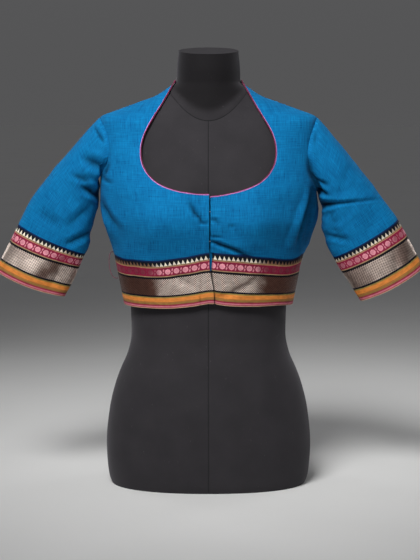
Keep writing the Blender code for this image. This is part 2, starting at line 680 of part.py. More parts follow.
def neck_edge():
    """The piping's centre line along the panels' own neck edges, from the right front to the left front."""
    halves = []
    for hand_name in ("right", "left"):
        hand = SLEEVES[hand_name]["hand"]
        rows = front_sheet(hand_name)
        low = ROWS["front_low"]
        corner = COLUMNS["opening_to_neck"]
        front = np.array(list(rows[low][:corner]) + [row[corner] for row in rows[low:]])
        back = np.array(back_half(hand_name)[-1][COLUMNS["back_neck"]::-1])[1:]
        line, normal = [], []
        for part, side in ((front, -1), (back, 1)):
            points = on_torso(np.abs(part[:, 0]), part[:, 1], side)
            facing = BLOUSE.normals(points, side)
            sign = np.where(part[:, 0] < 0, -1.0, 1.0)
            points[:, 0] *= sign
            facing[:, 0] *= sign
            points[:, 1] += side * SEAM_GAP / 2
            line.append(points - facing * WALL / 2)
            normal.append(facing)
        line, normal = np.concatenate(line), np.concatenate(normal)
        away = np.cross(normal, np.gradient(line, axis=0))
        away /= np.linalg.norm(away, axis=1, keepdims=True)
        line = line + away * (PIPING_RADIUS + PIPING_GAP)
        line[:, 0] *= hand
        halves.append(line)
    return np.concatenate([halves[0], halves[1][::-1][1:]])


def build_trim():
    tube("neck_piping", neck_edge(), PIPING_RADIUS, 1, "pink_piping")
    tube("hanger_loop", along(LOOP_ROUTE, 20), LOOP_RADIUS, 1, "loop_thread")


def build_torso_pieces():
    for hand_name in ("right", "left"):
        hand = SLEEVES[hand_name]["hand"]
        torso_piece(f"front_{hand_name}", front_sheet(hand_name), -1, hand, "blue_cotton", "front")
        torso_piece(f"hem_band_{hand_name}", front_band_sheet(hand_name), -1, hand, "woven_border", "hem")
    torso_piece("back", back_sheet(), 1, 1.0, "blue_cotton", "back")
    torso_piece("hem_band_back", back_band_sheet(), 1, 1.0, "woven_border", "back")
    torso_piece("placket", placket_sheet(), -1, 1.0, "blue_cotton", "front", sink=WALL + LAYER_GAP)


def make_materials():
    made = {}
    for name, (red, green, blue, roughness, metallic) in COLOURS.items():
        material = bpy.data.materials.new(name)
        material.use_nodes = True
        shader = material.node_tree.nodes["Principled BSDF"]
        shader.inputs["Base Color"].default_value = (red, green, blue, 1.0)
        shader.inputs["Roughness"].default_value = roughness
        shader.inputs["Metallic"].default_value = metallic
        made[name] = material
    return made


clear_scene()
COLLECTION = bpy.data.collections.new("blouse_on_dress_form")
bpy.context.scene.collection.children.link(COLLECTION)
STAND = bpy.data.objects.new("form_base", None)
COLLECTION.objects.link(STAND)
MATERIALS = make_materials()
build_form()
build_torso_pieces()
build_sleeves()
build_trim()
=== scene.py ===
# %% [markdown]
# # A short blouse on a dress form
#
# The object is a fitted blouse of blue handloom cotton, worn by a black dress form. It has a deep
# round neck with pink piping, elbow sleeves, and a woven border round the hem and both cuffs.
# The CAD frame holds plain solids. Here each cut-and-sewn piece becomes a thin cloth shell on its
# solid's form, with its creases, its seams and its own weave.

# %% Load the frame
import json
import math

import bpy
import numpy as np
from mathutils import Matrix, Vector

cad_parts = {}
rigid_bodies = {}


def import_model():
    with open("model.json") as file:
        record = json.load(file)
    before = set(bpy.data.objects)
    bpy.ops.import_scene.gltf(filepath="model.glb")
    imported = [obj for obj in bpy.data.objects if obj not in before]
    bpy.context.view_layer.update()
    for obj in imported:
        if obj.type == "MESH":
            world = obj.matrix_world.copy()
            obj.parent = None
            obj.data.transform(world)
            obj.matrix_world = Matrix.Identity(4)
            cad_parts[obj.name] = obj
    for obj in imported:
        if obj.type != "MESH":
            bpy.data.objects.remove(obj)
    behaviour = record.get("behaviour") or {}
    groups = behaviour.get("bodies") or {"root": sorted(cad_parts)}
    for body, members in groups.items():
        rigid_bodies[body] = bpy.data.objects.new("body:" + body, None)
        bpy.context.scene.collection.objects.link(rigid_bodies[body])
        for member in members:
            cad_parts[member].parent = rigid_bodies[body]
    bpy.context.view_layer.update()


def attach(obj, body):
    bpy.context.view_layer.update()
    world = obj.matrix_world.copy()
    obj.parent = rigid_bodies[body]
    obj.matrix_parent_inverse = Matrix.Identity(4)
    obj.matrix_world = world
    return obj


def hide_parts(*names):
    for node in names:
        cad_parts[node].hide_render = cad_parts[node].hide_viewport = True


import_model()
MM = 0.001

# %% [markdown]
# ## The camera
#
# The photograph was taken from the front, a little above the chest, with a long lens. We set the
# camera first, because every crease is placed against that view. The sensor is fitted to
# the tall side of the picture, so the lens reads the same at any picture size.

# %% Camera at the photograph's angle
CAMERA_PLACE = (0.0026, -2.6, 0.65)
CAMERA_TILT = 83.375
camera = bpy.data.objects.new("camera", bpy.data.cameras.new("camera"))
bpy.context.scene.collection.objects.link(camera)
camera.data.sensor_fit = "VERTICAL"
camera.data.sensor_height = 36.0
camera.data.lens = 98.98
camera.location = CAMERA_PLACE
camera.rotation_euler = (math.radians(CAMERA_TILT), 0.0, 0.0)
bpy.context.scene.camera = camera
print("Camera lens", round(camera.data.lens, 1), "mm, height", camera.location.z)

# %% [markdown]
# ## The hanger loop
#
# One loop of twisted thread is sewn to the side seam, at the top of the border and again halfway
# down it. It hangs limp. A bevelled curve is the natural way to make a thread: its spline is the
# thread's own centre line, so its length can be read from it. It is then turned into a mesh. The
# small helpers for lengths and curves come first, because the cloth needs them too.


# %% Lengths and curves along a path
def far_along(path):
    """How far along the path each of its places is."""
    return np.concatenate([[0], np.cumsum(np.linalg.norm(np.diff(path, axis=0), axis=1))])


def length_of(path):
    return float(far_along(path)[-1])


def read_at(path, far, at):
    """The path's columns read at other distances along it."""
    return np.stack([np.interp(at, far, path[:, k]) for k in range(path.shape[1])], axis=1)


def even_steps(path, count):
    """The path again, as count + 1 places with even steps along it."""
    far = far_along(path)
    return read_at(path, far, np.linspace(0, far[-1], count + 1))


def cubic(t, start, end, leave, arrive):
    """A curve from start to end, for t from 0 to 1, with the slopes it leaves and arrives with."""
    return (
        (2 * t**3 - 3 * t**2 + 1) * start
        + (t**3 - 2 * t**2 + t) * leave
        + (3 * t**2 - 2 * t**3) * end
        + (t**3 - t**2) * arrive
    )


DENSE = 60


def smooth_path(points, count):
    """A smooth curve through the points, as count + 1 places with even steps along it."""
    points = np.asarray(points, float)
    knots = far_along(points)
    slope = np.gradient(points, knots, axis=0)
    dense = np.linspace(0, knots[-1], DENSE * len(points))
    i = np.clip(np.searchsorted(knots, dense, side="right") - 1, 0, len(knots) - 2)
    step = (knots[i + 1] - knots[i])[:, None]
    t = ((dense - knots[i]) / step[:, 0])[:, None]
    path = cubic(t, points[i], points[i + 1], step * slope[i], step * slope[i + 1])
    return even_steps(path, count)


# %% Route of the loop
LOOP_ROUTE = np.array([
    # x, y, z in metres
    [-0.1613, -0.0030, 0.3960],
    [-0.1636, -0.0035, 0.3968],
    [-0.1663, -0.0040, 0.3938],
    [-0.1680, -0.0042, 0.3870],
    [-0.1684, -0.0043, 0.3790],
    [-0.1674, -0.0042, 0.3685],
    [-0.1650, -0.0040, 0.3600],
    [-0.1616, -0.0038, 0.3543],
    [-0.1573, -0.0035, 0.3518],
    [-0.1533, -0.0030, 0.3516],
])
LOOP_DIAMETER = 0.0012
LOOP_STEPS = 36
loop_path = smooth_path(LOOP_ROUTE, LOOP_STEPS)
print("Loop route:", round(length_of(loop_path) / MM, 1), "mm")


# %% Hanger loop of thread
def thread_curve(name, route, diameter):
    """A thread along the route: a bevelled curve of one open spline, turned into a mesh."""
    curve = bpy.data.curves.new(name, "CURVE")
    curve.dimensions = "3D"
    curve.bevel_depth = diameter / 2
    curve.bevel_resolution = 3
    curve.use_fill_caps = True
    spline = curve.splines.new("POLY")
    spline.points.add(len(route) - 1)
    for point, place in zip(spline.points, route):
        point.co = (*place, 1.0)
    thread = bpy.data.objects.new(name, curve)
    bpy.context.scene.collection.objects.link(thread)
    bpy.ops.object.select_all(action="DESELECT")
    thread.select_set(True)
    bpy.context.view_layer.objects.active = thread
    bpy.ops.object.convert(target="MESH")
    return bpy.context.active_object


loop = thread_curve("thread_loop", loop_path, LOOP_DIAMETER)
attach(loop, "root")
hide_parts("hanger_loop")
print("Thread loop:", len(loop.data.polygons), "faces")

# %% [markdown]
# ## The body under the cloth
#
# A worn blouse takes its shape from the body. Both the form and the blouse are given by level
# sections: how wide each is, how far it reaches forward and back, and how square its corners are.
# The tables are the same ones that the solids were made from, so cloth and solid agree. Between
# the rows a curve is drawn that never overshoots, and it is then calmed a little, so that light
# runs over it evenly. Only the shoulders, which turn sharply, stay as the table has them.

# %% Tables of level sections, in millimetres
RING = {"half_width": 1, "front": 2, "back": 3, "roundness": 4, "centre_y": 5}
FORM_RINGS = np.array([
    # z, half_width, front, back, roundness, centre_y
    [0.0, 166.0, 98.0, 112.0, 2.25, 4.0],
    [12.0, 171.0, 103.0, 117.0, 2.25, 4.0],
    [70.0, 175.0, 108.0, 121.0, 2.25, 3.0],
    [130.0, 169.0, 107.0, 116.0, 2.2, 2.0],
    [170.0, 159.5, 103.0, 107.0, 2.2, 0.0],
    [198.0, 149.5, 98.0, 97.0, 2.2, -1.0],
    [225.0, 137.5, 92.0, 88.0, 2.2, -2.0],
    [258.0, 131.0, 87.0, 82.0, 2.2, -2.0],
    [300.0, 132.0, 88.0, 84.0, 2.2, -1.0],
    [350.0, 137.0, 93.0, 90.0, 2.25, 0.0],
    [400.0, 144.0, 101.0, 95.0, 2.3, 1.0],
    [450.0, 150.5, 112.0, 99.0, 2.3, 2.0],
    [500.0, 154.0, 111.0, 102.0, 2.35, 3.0],
    [545.0, 158.0, 97.0, 101.0, 2.35, 4.0],
    [585.0, 163.0, 81.0, 94.0, 2.4, 5.0],
    [612.0, 167.0, 69.0, 84.0, 2.3, 5.0],
    [623.0, 167.5, 64.5, 79.0, 2.0, 5.0],
    [636.0, 144.5, 61.0, 70.5, 1.6, 4.0],
    [648.0, 110.0, 59.0, 65.0, 1.5, 3.0],
    [657.0, 85.5, 57.5, 61.5, 1.6, 2.5],
    [668.0, 66.8, 56.0, 57.5, 1.8, 2.0],
    [683.0, 53.4, 54.0, 54.5, 2.0, 1.0],
    [700.0, 53.0, 54.0, 54.5, 2.0, 0.0],
    [734.0, 50.0, 50.0, 51.0, 2.0, -2.0],
])
BLOUSE_RINGS = np.array([
    # z, half_width, front, back, roundness, centre_y
    [296.0, 141.0, 95.5, 88.0, 2.3, -1.0],
    [310.0, 143.5, 96.5, 90.0, 2.3, -1.0],
    [350.0, 151.5, 101.0, 97.0, 2.3, 0.0],
    [395.0, 160.5, 110.0, 104.0, 2.3, 1.0],
    [425.0, 169.5, 119.0, 108.0, 2.25, 2.0],
    [458.0, 181.0, 126.0, 111.0, 2.2, 2.0],
    [480.0, 182.5, 124.5, 112.0, 2.2, 3.0],
    [505.0, 182.5, 119.0, 112.0, 2.35, 3.0],
    [540.0, 181.0, 104.5, 108.5, 2.4, 4.0],
    [570.0, 180.0, 91.5, 102.0, 2.5, 5.0],
    [600.0, 180.5, 78.0, 92.0, 2.5, 5.0],
    [616.0, 181.2, 71.0, 86.5, 2.4, 5.0],
    [623.0, 181.5, 68.0, 83.0, 2.1, 5.0],
    [636.0, 152.0, 65.5, 76.5, 1.65, 4.0],
    [648.0, 118.0, 63.5, 71.0, 1.5, 3.0],
    [657.0, 92.0, 62.0, 67.0, 1.6, 2.5],
    [668.0, 73.0, 60.5, 63.5, 1.8, 2.0],
    [683.0, 57.0, 58.0, 60.0, 2.0, 1.0],
    [700.0, 55.5, 56.5, 57.5, 2.0, 0.0],
])
BUST = {"x": 80.0, "z": 452.0, "wide": 50.0, "tall": 58.0}
BUST_RISE = {"form": 23.0, "blouse": 15.0}
SHOULDER_TIP_Z = 623.0
SHOULDER_NECK_Z = 683.0
print("Level sections:", len(FORM_RINGS), "of the form,", len(BLOUSE_RINGS), "of the blouse")


# %% A curve through a table that never overshoots
def curve_through(table, at, column=1):
    """A monotone cubic through the table's rows, read at many places of its first column."""
    x, y = table[:, 0], table[:, column]
    at = np.clip(np.asarray(at, float), x[0], x[-1])
    step = np.diff(x)
    slope = np.diff(y) / step
    tangent = np.concatenate([slope[:1], np.zeros(len(y) - 2), slope[-1:]])
    for i in range(1, len(y) - 1):
        before, after = slope[i - 1], slope[i]
        if before * after > 0:
            near = 2 * step[i] + step[i - 1]
            far = step[i] + 2 * step[i - 1]
            tangent[i] = (near + far) / (near / before + far / after)
    i = np.clip(np.searchsorted(x, at, side="right") - 1, 0, len(step) - 1)
    t = (at - x[i]) / step[i]
    return cubic(t, y[i], y[i + 1], step[i] * tangent[i], step[i] * tangent[i + 1])


# %% The torso surface
CALM = 5.0
CALM_ENDS = {"from": 585.0, "over": 20.0}
READ_STEP = 0.25
PROBE = 0.75


class Torso:
    """A torso-shaped surface from level sections, with a soft fullness over the bust."""

    def __init__(self, rings, bust_rise):
        self.z = np.arange(rings[0, 0], rings[-1, 0] + READ_STEP / 2, READ_STEP)
        self.bust_rise = bust_rise
        self.values = {}
        reach = int(3 * CALM / READ_STEP)
        bell = np.exp(-0.5 * (np.arange(-reach, reach + 1) * READ_STEP / CALM) ** 2)
        bell /= bell.sum()
        shoulder = np.clip((self.z - CALM_ENDS["from"]) / CALM_ENDS["over"], 0, 1)
        for name, column in RING.items():
            plain = curve_through(rings, self.z, column)
            padded = np.pad(plain, reach, mode="reflect", reflect_type="odd")
            calm = np.convolve(padded, bell, mode="valid")
            self.values[name] = calm * (1 - shoulder) + plain * shoulder

    def at(self, z, name):
        return np.interp(z, self.z, self.values[name])

    def bust(self, x, z):
        """How far the front stands out over the bust, fading to nothing at the sides."""
        across = (np.abs(x) - BUST["x"]) / BUST["wide"]
        up = (z - BUST["z"]) / BUST["tall"]
        edge = np.clip(1 - (np.abs(x) / self.at(z, "half_width")) ** 4, 0, 1)
        return self.bust_rise * np.exp(-(across**2) - up**2) * edge

    def depth(self, x, z, side):
        """y of the surface over (x, z); side is -1 for the front and 1 for the back."""
        power = self.at(z, "roundness")
        share = np.clip(np.abs(x) / self.at(z, "half_width"), 0, 1)
        reach = self.at(z, "front" if side < 0 else "back")
        y = self.at(z, "centre_y") + side * reach * (1 - share**power) ** (1 / power)
        return y - self.bust(x, z) if side < 0 else y

    def level(self, x, y, z, side):
        """Zero on the surface, positive outside it."""
        power = self.at(z, "roundness")
        reach = self.at(z, "front" if side < 0 else "back")
        out = y + self.bust(x, z) if side < 0 else y
        across = np.abs(x) / self.at(z, "half_width")
        deep = np.maximum(side * (out - self.at(z, "centre_y")), 0) / reach
        return (across**power + deep**power) ** (1 / power) - 1

    def normals(self, points, side):
        """Unit normals out of the surface at points that lie on it."""
        x, y, z = points[..., 0], points[..., 1], points[..., 2]
        slope = np.stack([
            self.level(x + PROBE, y, z, side) - self.level(x - PROBE, y, z, side),
            self.level(x, y + PROBE, z, side) - self.level(x, y - PROBE, z, side),
            self.level(x, y, z + PROBE, side) - self.level(x, y, z - PROBE, side),
        ], axis=-1)
        return slope / np.linalg.norm(slope, axis=-1, keepdims=True)


FORM = Torso(FORM_RINGS, BUST_RISE["form"])
BLOUSE = Torso(BLOUSE_RINGS, BUST_RISE["blouse"])
print("Blouse is", round(2 * float(BLOUSE.at(480, "half_width"))), "mm across at the bust")

# %% [markdown]
# ## The seams and edges
#
# A pattern cutter draws edges first: the neckline, the armhole, the shoulder, the top and bottom
# of the border and the front opening. Each is a short table here. The neckline is one smooth
# curve through its points, because a cut edge has no corners.

# %% Edge tables, in millimetres
NECKLINE = np.array([
    # x, z, from past the front middle round to the neck point of the shoulder
    [-30.0, 501.5], [0.0, 499.0], [30.0, 501.3], [60.0, 507.4], [83.0, 517.0], [98.2, 529.6],
    [108.8, 547.6], [112.2, 570.0], [107.2, 594.4], [92.8, 620.6], [76.0, 645.4], [64.4, 665.4],
    [58.0, 683.0],
])
NECK_CORNER_X = 96.0
BAND_TOP = {
    # share of the half width, z
    "right": np.array([[0.0, 406.0], [0.25, 398.0], [0.6, 391.0], [0.85, 391.0], [1.0, 395.0]]),
    "left": np.array([[0.0, 406.0], [0.25, 403.0], [0.63, 395.5], [0.85, 390.5], [1.0, 395.0]]),
}
BAND_BOTTOM = {
    "right": np.array([[0.0, 320.0], [0.2, 315.0], [0.5, 310.5], [1.0, 309.5]]),
    "left": np.array([[0.0, 321.5], [0.2, 316.5], [0.5, 314.0], [0.8, 313.0], [1.0, 309.5]]),
}
BACK_BAND_READ = 0.9
BACK_NECK = np.array([[0.0, 669.0], [0.4, 670.5], [0.75, 675.0], [1.0, 683.0]])
BACK_MIDDLE_Z = 509.0
OPENING = np.array([
    # z, right edge x, left edge x
    [300.0, 9.0, 9.6],
    [322.0, 9.0, 9.6],
    [343.0, 8.2, 8.8],
    [358.0, 5.4, 6.2],
    [373.0, 3.0, 4.6],
    [385.0, 1.8, 5.4],
    [406.0, 1.3, 6.4],
])
FRONT_EDGE = {"right": 1.3, "left": 3.2}
ARMHOLE_INSET = np.array([
    # share of the way up, inset at the front, inset at the back
    [0.0, 0.0, 0.0],
    [0.12, 7.0, 5.0],
    [0.3, 14.0, 10.0],
    [0.5, 16.0, 12.0],
    [0.75, 11.0, 8.0],
    [0.92, 3.5, 3.0],
    [1.0, 0.0, 0.0],
])
HAND = {"right": -1.0, "left": 1.0}
UNDERARM_Z = {"right": 526.0, "left": 500.0}

# %% How finely the panels are divided
FINE = 240
COLUMNS = {"opening_to_neck": 44, "neck_to_side": 58, "back_neck": 22, "back_side": 58}
ROWS = {"front_low": 46, "strap": 58, "back_low": 42, "back_high": 66, "band": 40}
CROWDING = {"strap": 1.45, "back_high": 1.3}
OPENING_COLUMN = {"right": 1, "left": 2}
print("A front has", ROWS["front_low"] + ROWS["strap"], "rows of cells")


# %% Places on the blouse's surface
def on_torso(share, z, side):
    """Points of the blouse at a share of its half width."""
    share, z = np.broadcast_arrays(np.asarray(share, float), np.asarray(z, float))
    x = share * BLOUSE.at(z, "half_width")
    return np.stack([x, BLOUSE.depth(x, z, side), z], axis=-1)


def evened(share, z, side, count):
    """(share, z) pairs along a row, spaced evenly over the surface."""
    far = far_along(on_torso(share, z, side))
    return read_at(np.stack([share, z], axis=1), far, np.linspace(0, far[-1], count + 1))


def shares_to_side(start=0.0, count=FINE):
    """Shares of the half width from start to the side seam, closer together where it curves."""
    return np.sin(np.linspace(np.arcsin(start), np.pi / 2, count + 1))


def crowded(step, steps, name):
    """How far up a row lies, from 0 to 1; the rows crowd together towards the shoulder."""
    return 1 - (1 - step / steps) ** CROWDING[name]


def shoulder_z(x):
    """Height of the shoulder line over x."""
    z = np.linspace(SHOULDER_TIP_Z, SHOULDER_NECK_Z, 400)
    return np.interp(x, BLOUSE.at(z, "half_width")[::-1], z[::-1])


def armhole(side, hand_name, share):
    """x and z of the armhole seam at a share of the way from underarm to shoulder tip."""
    low = UNDERARM_Z[hand_name]
    z = low + (SHOULDER_TIP_Z - low) * share
    inset = curve_through(ARMHOLE_INSET, share, 1 if side < 0 else 2)
    return np.stack([BLOUSE.at(z, "half_width") - inset, z], axis=-1)


def rows_between(low, high, count):
    return np.array([low + (high - low) * i / count for i in range(count + 1)])


# %% The neckline, split at the corner where the strap begins
NECK_STEPS = 1600
neck_curve = smooth_path(NECKLINE, NECK_STEPS)
corner_at = int(np.argmax(neck_curve[:, 0] > NECK_CORNER_X))
neck_side = even_steps(neck_curve[corner_at:], FINE)
LEFT_NECK_DROP = {"depth": 3.0, "wide": 42.0}


def neck_low(hand_name):
    """The low part of the neckline, from the front edge to the corner."""
    start = HAND[hand_name] * FRONT_EDGE[hand_name]
    first = int(np.argmax(neck_curve[:, 0] >= start))
    path = neck_curve[first:corner_at + 1].copy()
    if hand_name == "left":
        drop = np.exp(-((path[:, 0] / LEFT_NECK_DROP["wide"]) ** 2))
        path[:, 1] -= LEFT_NECK_DROP["depth"] * drop
    return path


print("Half neckline:", round(length_of(neck_curve[int(np.argmax(neck_curve[:, 0] > 0)):])), "mm")

# %% [markdown]
# ## Grids over the panels
#
# Each panel is a grid of cells that follows its own edges, as a real panel's threads nearly do.
# The front has two parts: the low part under the neckline, and the strap that runs up beside it.
# Each place in a grid is a share of the blouse's half width and a height.


# %% Rows that end at the armhole
def row_to_armhole(start, arm, rise):
    """Shares and heights of a row from its inner end to the armhole.

    The higher the row, the more it is eased up to the shoulder seam. Its end stays on the armhole.
    """
    along_row = np.linspace(0, 1, FINE + 1)
    bend = np.sin(along_row * np.pi / 2)
    x = start[0] + (arm[0] - start[0]) * bend
    z = start[1] + (arm[1] - start[1]) * bend
    gap = shoulder_z(x) - z
    z = z + (gap - gap[-1] * along_row**4) * rise**6
    if rise == 1:
        return np.ones_like(x), z
    return np.minimum(x / BLOUSE.at(z, "half_width"), 1), z


# %% Grid of a front
def strap_rows(hand_name):
    """Rows from the line between neck corner and underarm, up to the shoulder seam."""
    rows = []
    for i in range(ROWS["strap"] + 1):
        rise = crowded(i, ROWS["strap"], "strap")
        neck = [np.interp(rise * FINE, np.arange(FINE + 1), neck_side[:, k]) for k in range(2)]
        share, z = row_to_armhole(neck, armhole(-1, hand_name, rise), rise)
        rows.append(evened(share, z, -1, COLUMNS["neck_to_side"]))
    return np.array(rows)


def front_grid(hand_name):
    """Grid of (share, z) of a front, with blanks where the neck opening is."""
    inner = COLUMNS["opening_to_neck"]
    strap = strap_rows(hand_name)
    low = neck_low(hand_name)
    low[-1] = [strap[0, 0, 0] * BLOUSE.at(strap[0, 0, 1], "half_width"), strap[0, 0, 1]]
    neck_row = evened(low[:, 0] / BLOUSE.at(low[:, 1], "half_width"), low[:, 1], -1, inner)
    top = np.concatenate([neck_row[:-1], strap[0]])
    share = np.linspace(neck_row[0, 0], strap[0, 0, 0], FINE + 1)
    bottom_in = evened(share, curve_through(BAND_TOP[hand_name], share), -1, inner)
    share = shares_to_side(strap[0, 0, 0])
    bottom_line = curve_through(BAND_TOP[hand_name], share)
    bottom_out = evened(share, bottom_line, -1, COLUMNS["neck_to_side"])
    bottom = np.concatenate([bottom_in[:-1], bottom_out])
    rows = rows_between(bottom, top, ROWS["front_low"])
    blank = np.full((ROWS["strap"], inner, 2), np.nan)
    return np.concatenate([rows, np.concatenate([blank, strap[1:]], axis=1)])


# %% Grid of the back
BACK_CORNER = 0.33


def back_line(line, share):
    """Height of the border's edge behind: level, and met by both fronts' edges at the sides."""
    return curve_through(line["right"], np.maximum(share, BACK_BAND_READ))


def back_half(hand_name):
    """Rows of half the back, from the middle to one side."""
    inner, outer = COLUMNS["back_neck"], COLUMNS["back_side"]
    low_z = UNDERARM_Z[hand_name]
    neck_x = BLOUSE.at(SHOULDER_NECK_Z, "half_width")

    def split_row(z_of):
        share = np.linspace(0, BACK_CORNER, FINE + 1)
        first = evened(share, z_of(share), 1, inner)
        share = shares_to_side(BACK_CORNER)
        return np.concatenate([first[:-1], evened(share, z_of(share), 1, outer)])

    bottom = split_row(lambda s: back_line(BAND_TOP, s))
    middle = split_row(lambda s: BACK_MIDDLE_Z + (low_z - BACK_MIDDLE_Z) * s**2)
    rows = list(rows_between(bottom, middle, ROWS["back_low"]))
    start_x = BACK_CORNER * BLOUSE.at(BACK_MIDDLE_Z, "half_width")
    s = np.linspace(0, 1, FINE + 1)
    for i in range(1, ROWS["back_high"] + 1):
        rise = crowded(i, ROWS["back_high"], "back_high")
        x_mid = start_x + (neck_x - start_x) * rise
        z_mid = BACK_MIDDLE_Z + (SHOULDER_NECK_Z - BACK_MIDDLE_Z) * rise
        z = z_mid + (curve_through(BACK_NECK, s) - SHOULDER_NECK_Z) * rise**3
        first = evened(x_mid * s / BLOUSE.at(z, "half_width"), z, 1, inner)
        share, z = row_to_armhole([x_mid, z_mid], armhole(1, hand_name, rise), rise)
        rows.append(np.concatenate([first[:-1], evened(share, z, 1, outer)]))
    return np.array(rows)


def both_halves(right, left):
    """One grid from two halves; the wearer's right has negative shares."""
    mirrored = right[:, ::-1] * np.array([-1, 1])
    return np.concatenate([mirrored[:, :-1], left], axis=1)


# %% Grids of the border and of the strip behind the opening
SLANT_REACH = 34
PLACKET = {"from_x": -17.0, "to_x": 19.0, "low": 374.0, "high": 496.0, "rows": 62, "columns": 20}
PLACKET_READ_TO = 495.0


def opening_share(hand_name, z):
    """Share of the half width at which a hand's opening edge lies at height z."""
    edge = HAND[hand_name] * curve_through(OPENING, z, OPENING_COLUMN[hand_name])
    return edge / BLOUSE.at(z, "half_width")


def front_band_grid(hand_name):
    """Grid of half the border under a front; its opening edge slants."""
    count = COLUMNS["opening_to_neck"] + COLUMNS["neck_to_side"]
    ends = []
    for line in (BAND_BOTTOM[hand_name], BAND_TOP[hand_name]):
        share = shares_to_side(opening_share(hand_name, line[0, 1]))
        ends.append(evened(share, curve_through(line, share), -1, count))
    grid = rows_between(ends[0], ends[1], ROWS["band"])
    for row in grid:
        shift = opening_share(hand_name, row[0, 1]) - row[0, 0]
        row[:SLANT_REACH, 0] += shift * (1 - np.arange(SLANT_REACH) / SLANT_REACH)
    return grid


def back_band_grid():
    count = COLUMNS["back_neck"] + COLUMNS["back_side"]
    ends = []
    for line in (BAND_BOTTOM, BAND_TOP):
        share = shares_to_side()
        row = evened(share, back_line(line, share), 1, count)
        ends.append(both_halves(row[None], row[None])[0])
    return rows_between(ends[0], ends[1], ROWS["band"])


def placket_grid():
    """Grid of the strip behind the opening, which both fronts lie on."""
    rows = []
    for z in np.linspace(PLACKET["low"], PLACKET["high"], PLACKET["rows"]):
        x = np.linspace(PLACKET["from_x"], PLACKET["to_x"], PLACKET["columns"])
        height = np.full_like(x, min(z, PLACKET_READ_TO))
        rows.append(np.stack([x / BLOUSE.at(height, "half_width"), height], axis=1))
    return np.array(rows)


# %% [markdown]
# ## Creases
#
# The blouse is worn, so the cloth pulls from the underarms, folds beside the hooks and dips along
# its seams. Every crease is a path of places with a depth and a width, put down from the
# photograph, and the hidden sides get a few of the same kind. Across a crease the cloth falls
# into a soft trough and rises a little on each side, as cotton does. Little light reaches the
# bottom of a sharp, narrow fold, so a dark value for it goes into the attribute fold_shade, which
# the finishes read later. Over the creases lies a faint unevenness, from waves of several lengths.

# %% Crease tables, x and z in millimetres
FRONT_CREASES = {
    "right": [
        # x, z, depth, width
        [(32, 491, 0.0, 4), (27, 482, -2.2, 4), (21, 471, -3.4, 4), (14, 464, -2.6, 3.5),
         (11, 456, -2.8, 3.2), (7, 454, -2.2, 3), (2, 455, -1.0, 3)],
        [(37, 484, 0.0, 5), (30, 470, 0.9, 5), (22, 458, 0.8, 4.5), (16, 449, 0.0, 4)],
        [(13.3, 496, -0.3, 1.6), (13.3, 450, -0.3, 1.6), (13.3, 406, -0.35, 1.6),
         (13.3, 378, -0.8, 1.5), (13.3, 329, -1.2, 1.5), (13.3, 312, -0.6, 1.5)],
        [(181, 484, -1.5, 6), (175, 474, -3.2, 5.5), (165, 459, -3.4, 5.5), (154, 446, -2.2, 6),
         (140, 432, 0.0, 7)],
        [(177, 464, 0.0, 6), (170, 448, 1.4, 7), (165, 428, 1.0, 8), (160, 408, 0.0, 8)],
        [(175, 521, -2.2, 3), (166, 518, -2.0, 3), (155, 515, 0.0, 4)],
        [(165, 552, 0.0, 3.5), (167, 543, -2.0, 3.5), (171, 534, -2.4, 3.5), (175, 526, -1.5, 3.5)],
        [(88, 467, 0.0, 14), (70, 447, -0.9, 12), (52, 424, 0.0, 12)],
        [(60, 368, 0.0, 9), (46, 362, -1.6, 7), (34, 355, -1.0, 7), (24, 349, 0.0, 8)],
        [(128, 408, 0.0, 10), (124, 372, -1.4, 10), (122, 330, -0.8, 12), (120, 308, 0.0, 12)],
    ],
    "left": [
        [(5, 460, -1.4, 3), (11, 459, -2.4, 3), (16, 453, -1.2, 3), (20, 449, 0.0, 3)],
        [(32, 452, 0.0, 3), (38, 449, -1.6, 3), (43, 446, 0.0, 3)],
        [(7, 431, -1.6, 2.6), (18, 431, -1.0, 2.6), (26, 430, 0.0, 2.6)],
        [(7, 423, -3.0, 2.8), (25, 416, -3.8, 3.2), (45, 409, -3.8, 3.2), (58, 402, -2.6, 3.2),
         (74, 397, 0.0, 4)],
        [(30, 428, 0.0, 7), (50, 420, 1.2, 7), (74, 410, 0.0, 8)],
        [(167, 508, 0.0, 4), (161, 484, 2.0, 5), (150, 452, 2.8, 5), (141, 427, 1.8, 6),
         (134, 400, 0.0, 7)],
        [(175, 508, -2.0, 5), (171, 484, -4.8, 6), (161, 452, -5.2, 7), (152, 424, -3.6, 7),
         (145, 394, 0.0, 8)],
        [(182, 500, -2.0, 6), (180, 478, -3.4, 8), (173, 448, -3.8, 9), (165, 420, -2.8, 9),
         (157, 392, 0.0, 9)],
        [(13, 331, -1.0, 4), (34, 338, -1.5, 5), (54, 345, -2.0, 6), (70, 353, -2.0, 6.5),
         (86, 362, -1.2, 7), (96, 370, 0.0, 8)],
        [(48, 368, 0.0, 10), (34, 352, 0.7, 9), (22, 342, 0.0, 8)],
        [(66, 486, 0.0, 12), (58, 462, -0.8, 11), (48, 440, 0.0, 11)],
    ],
}
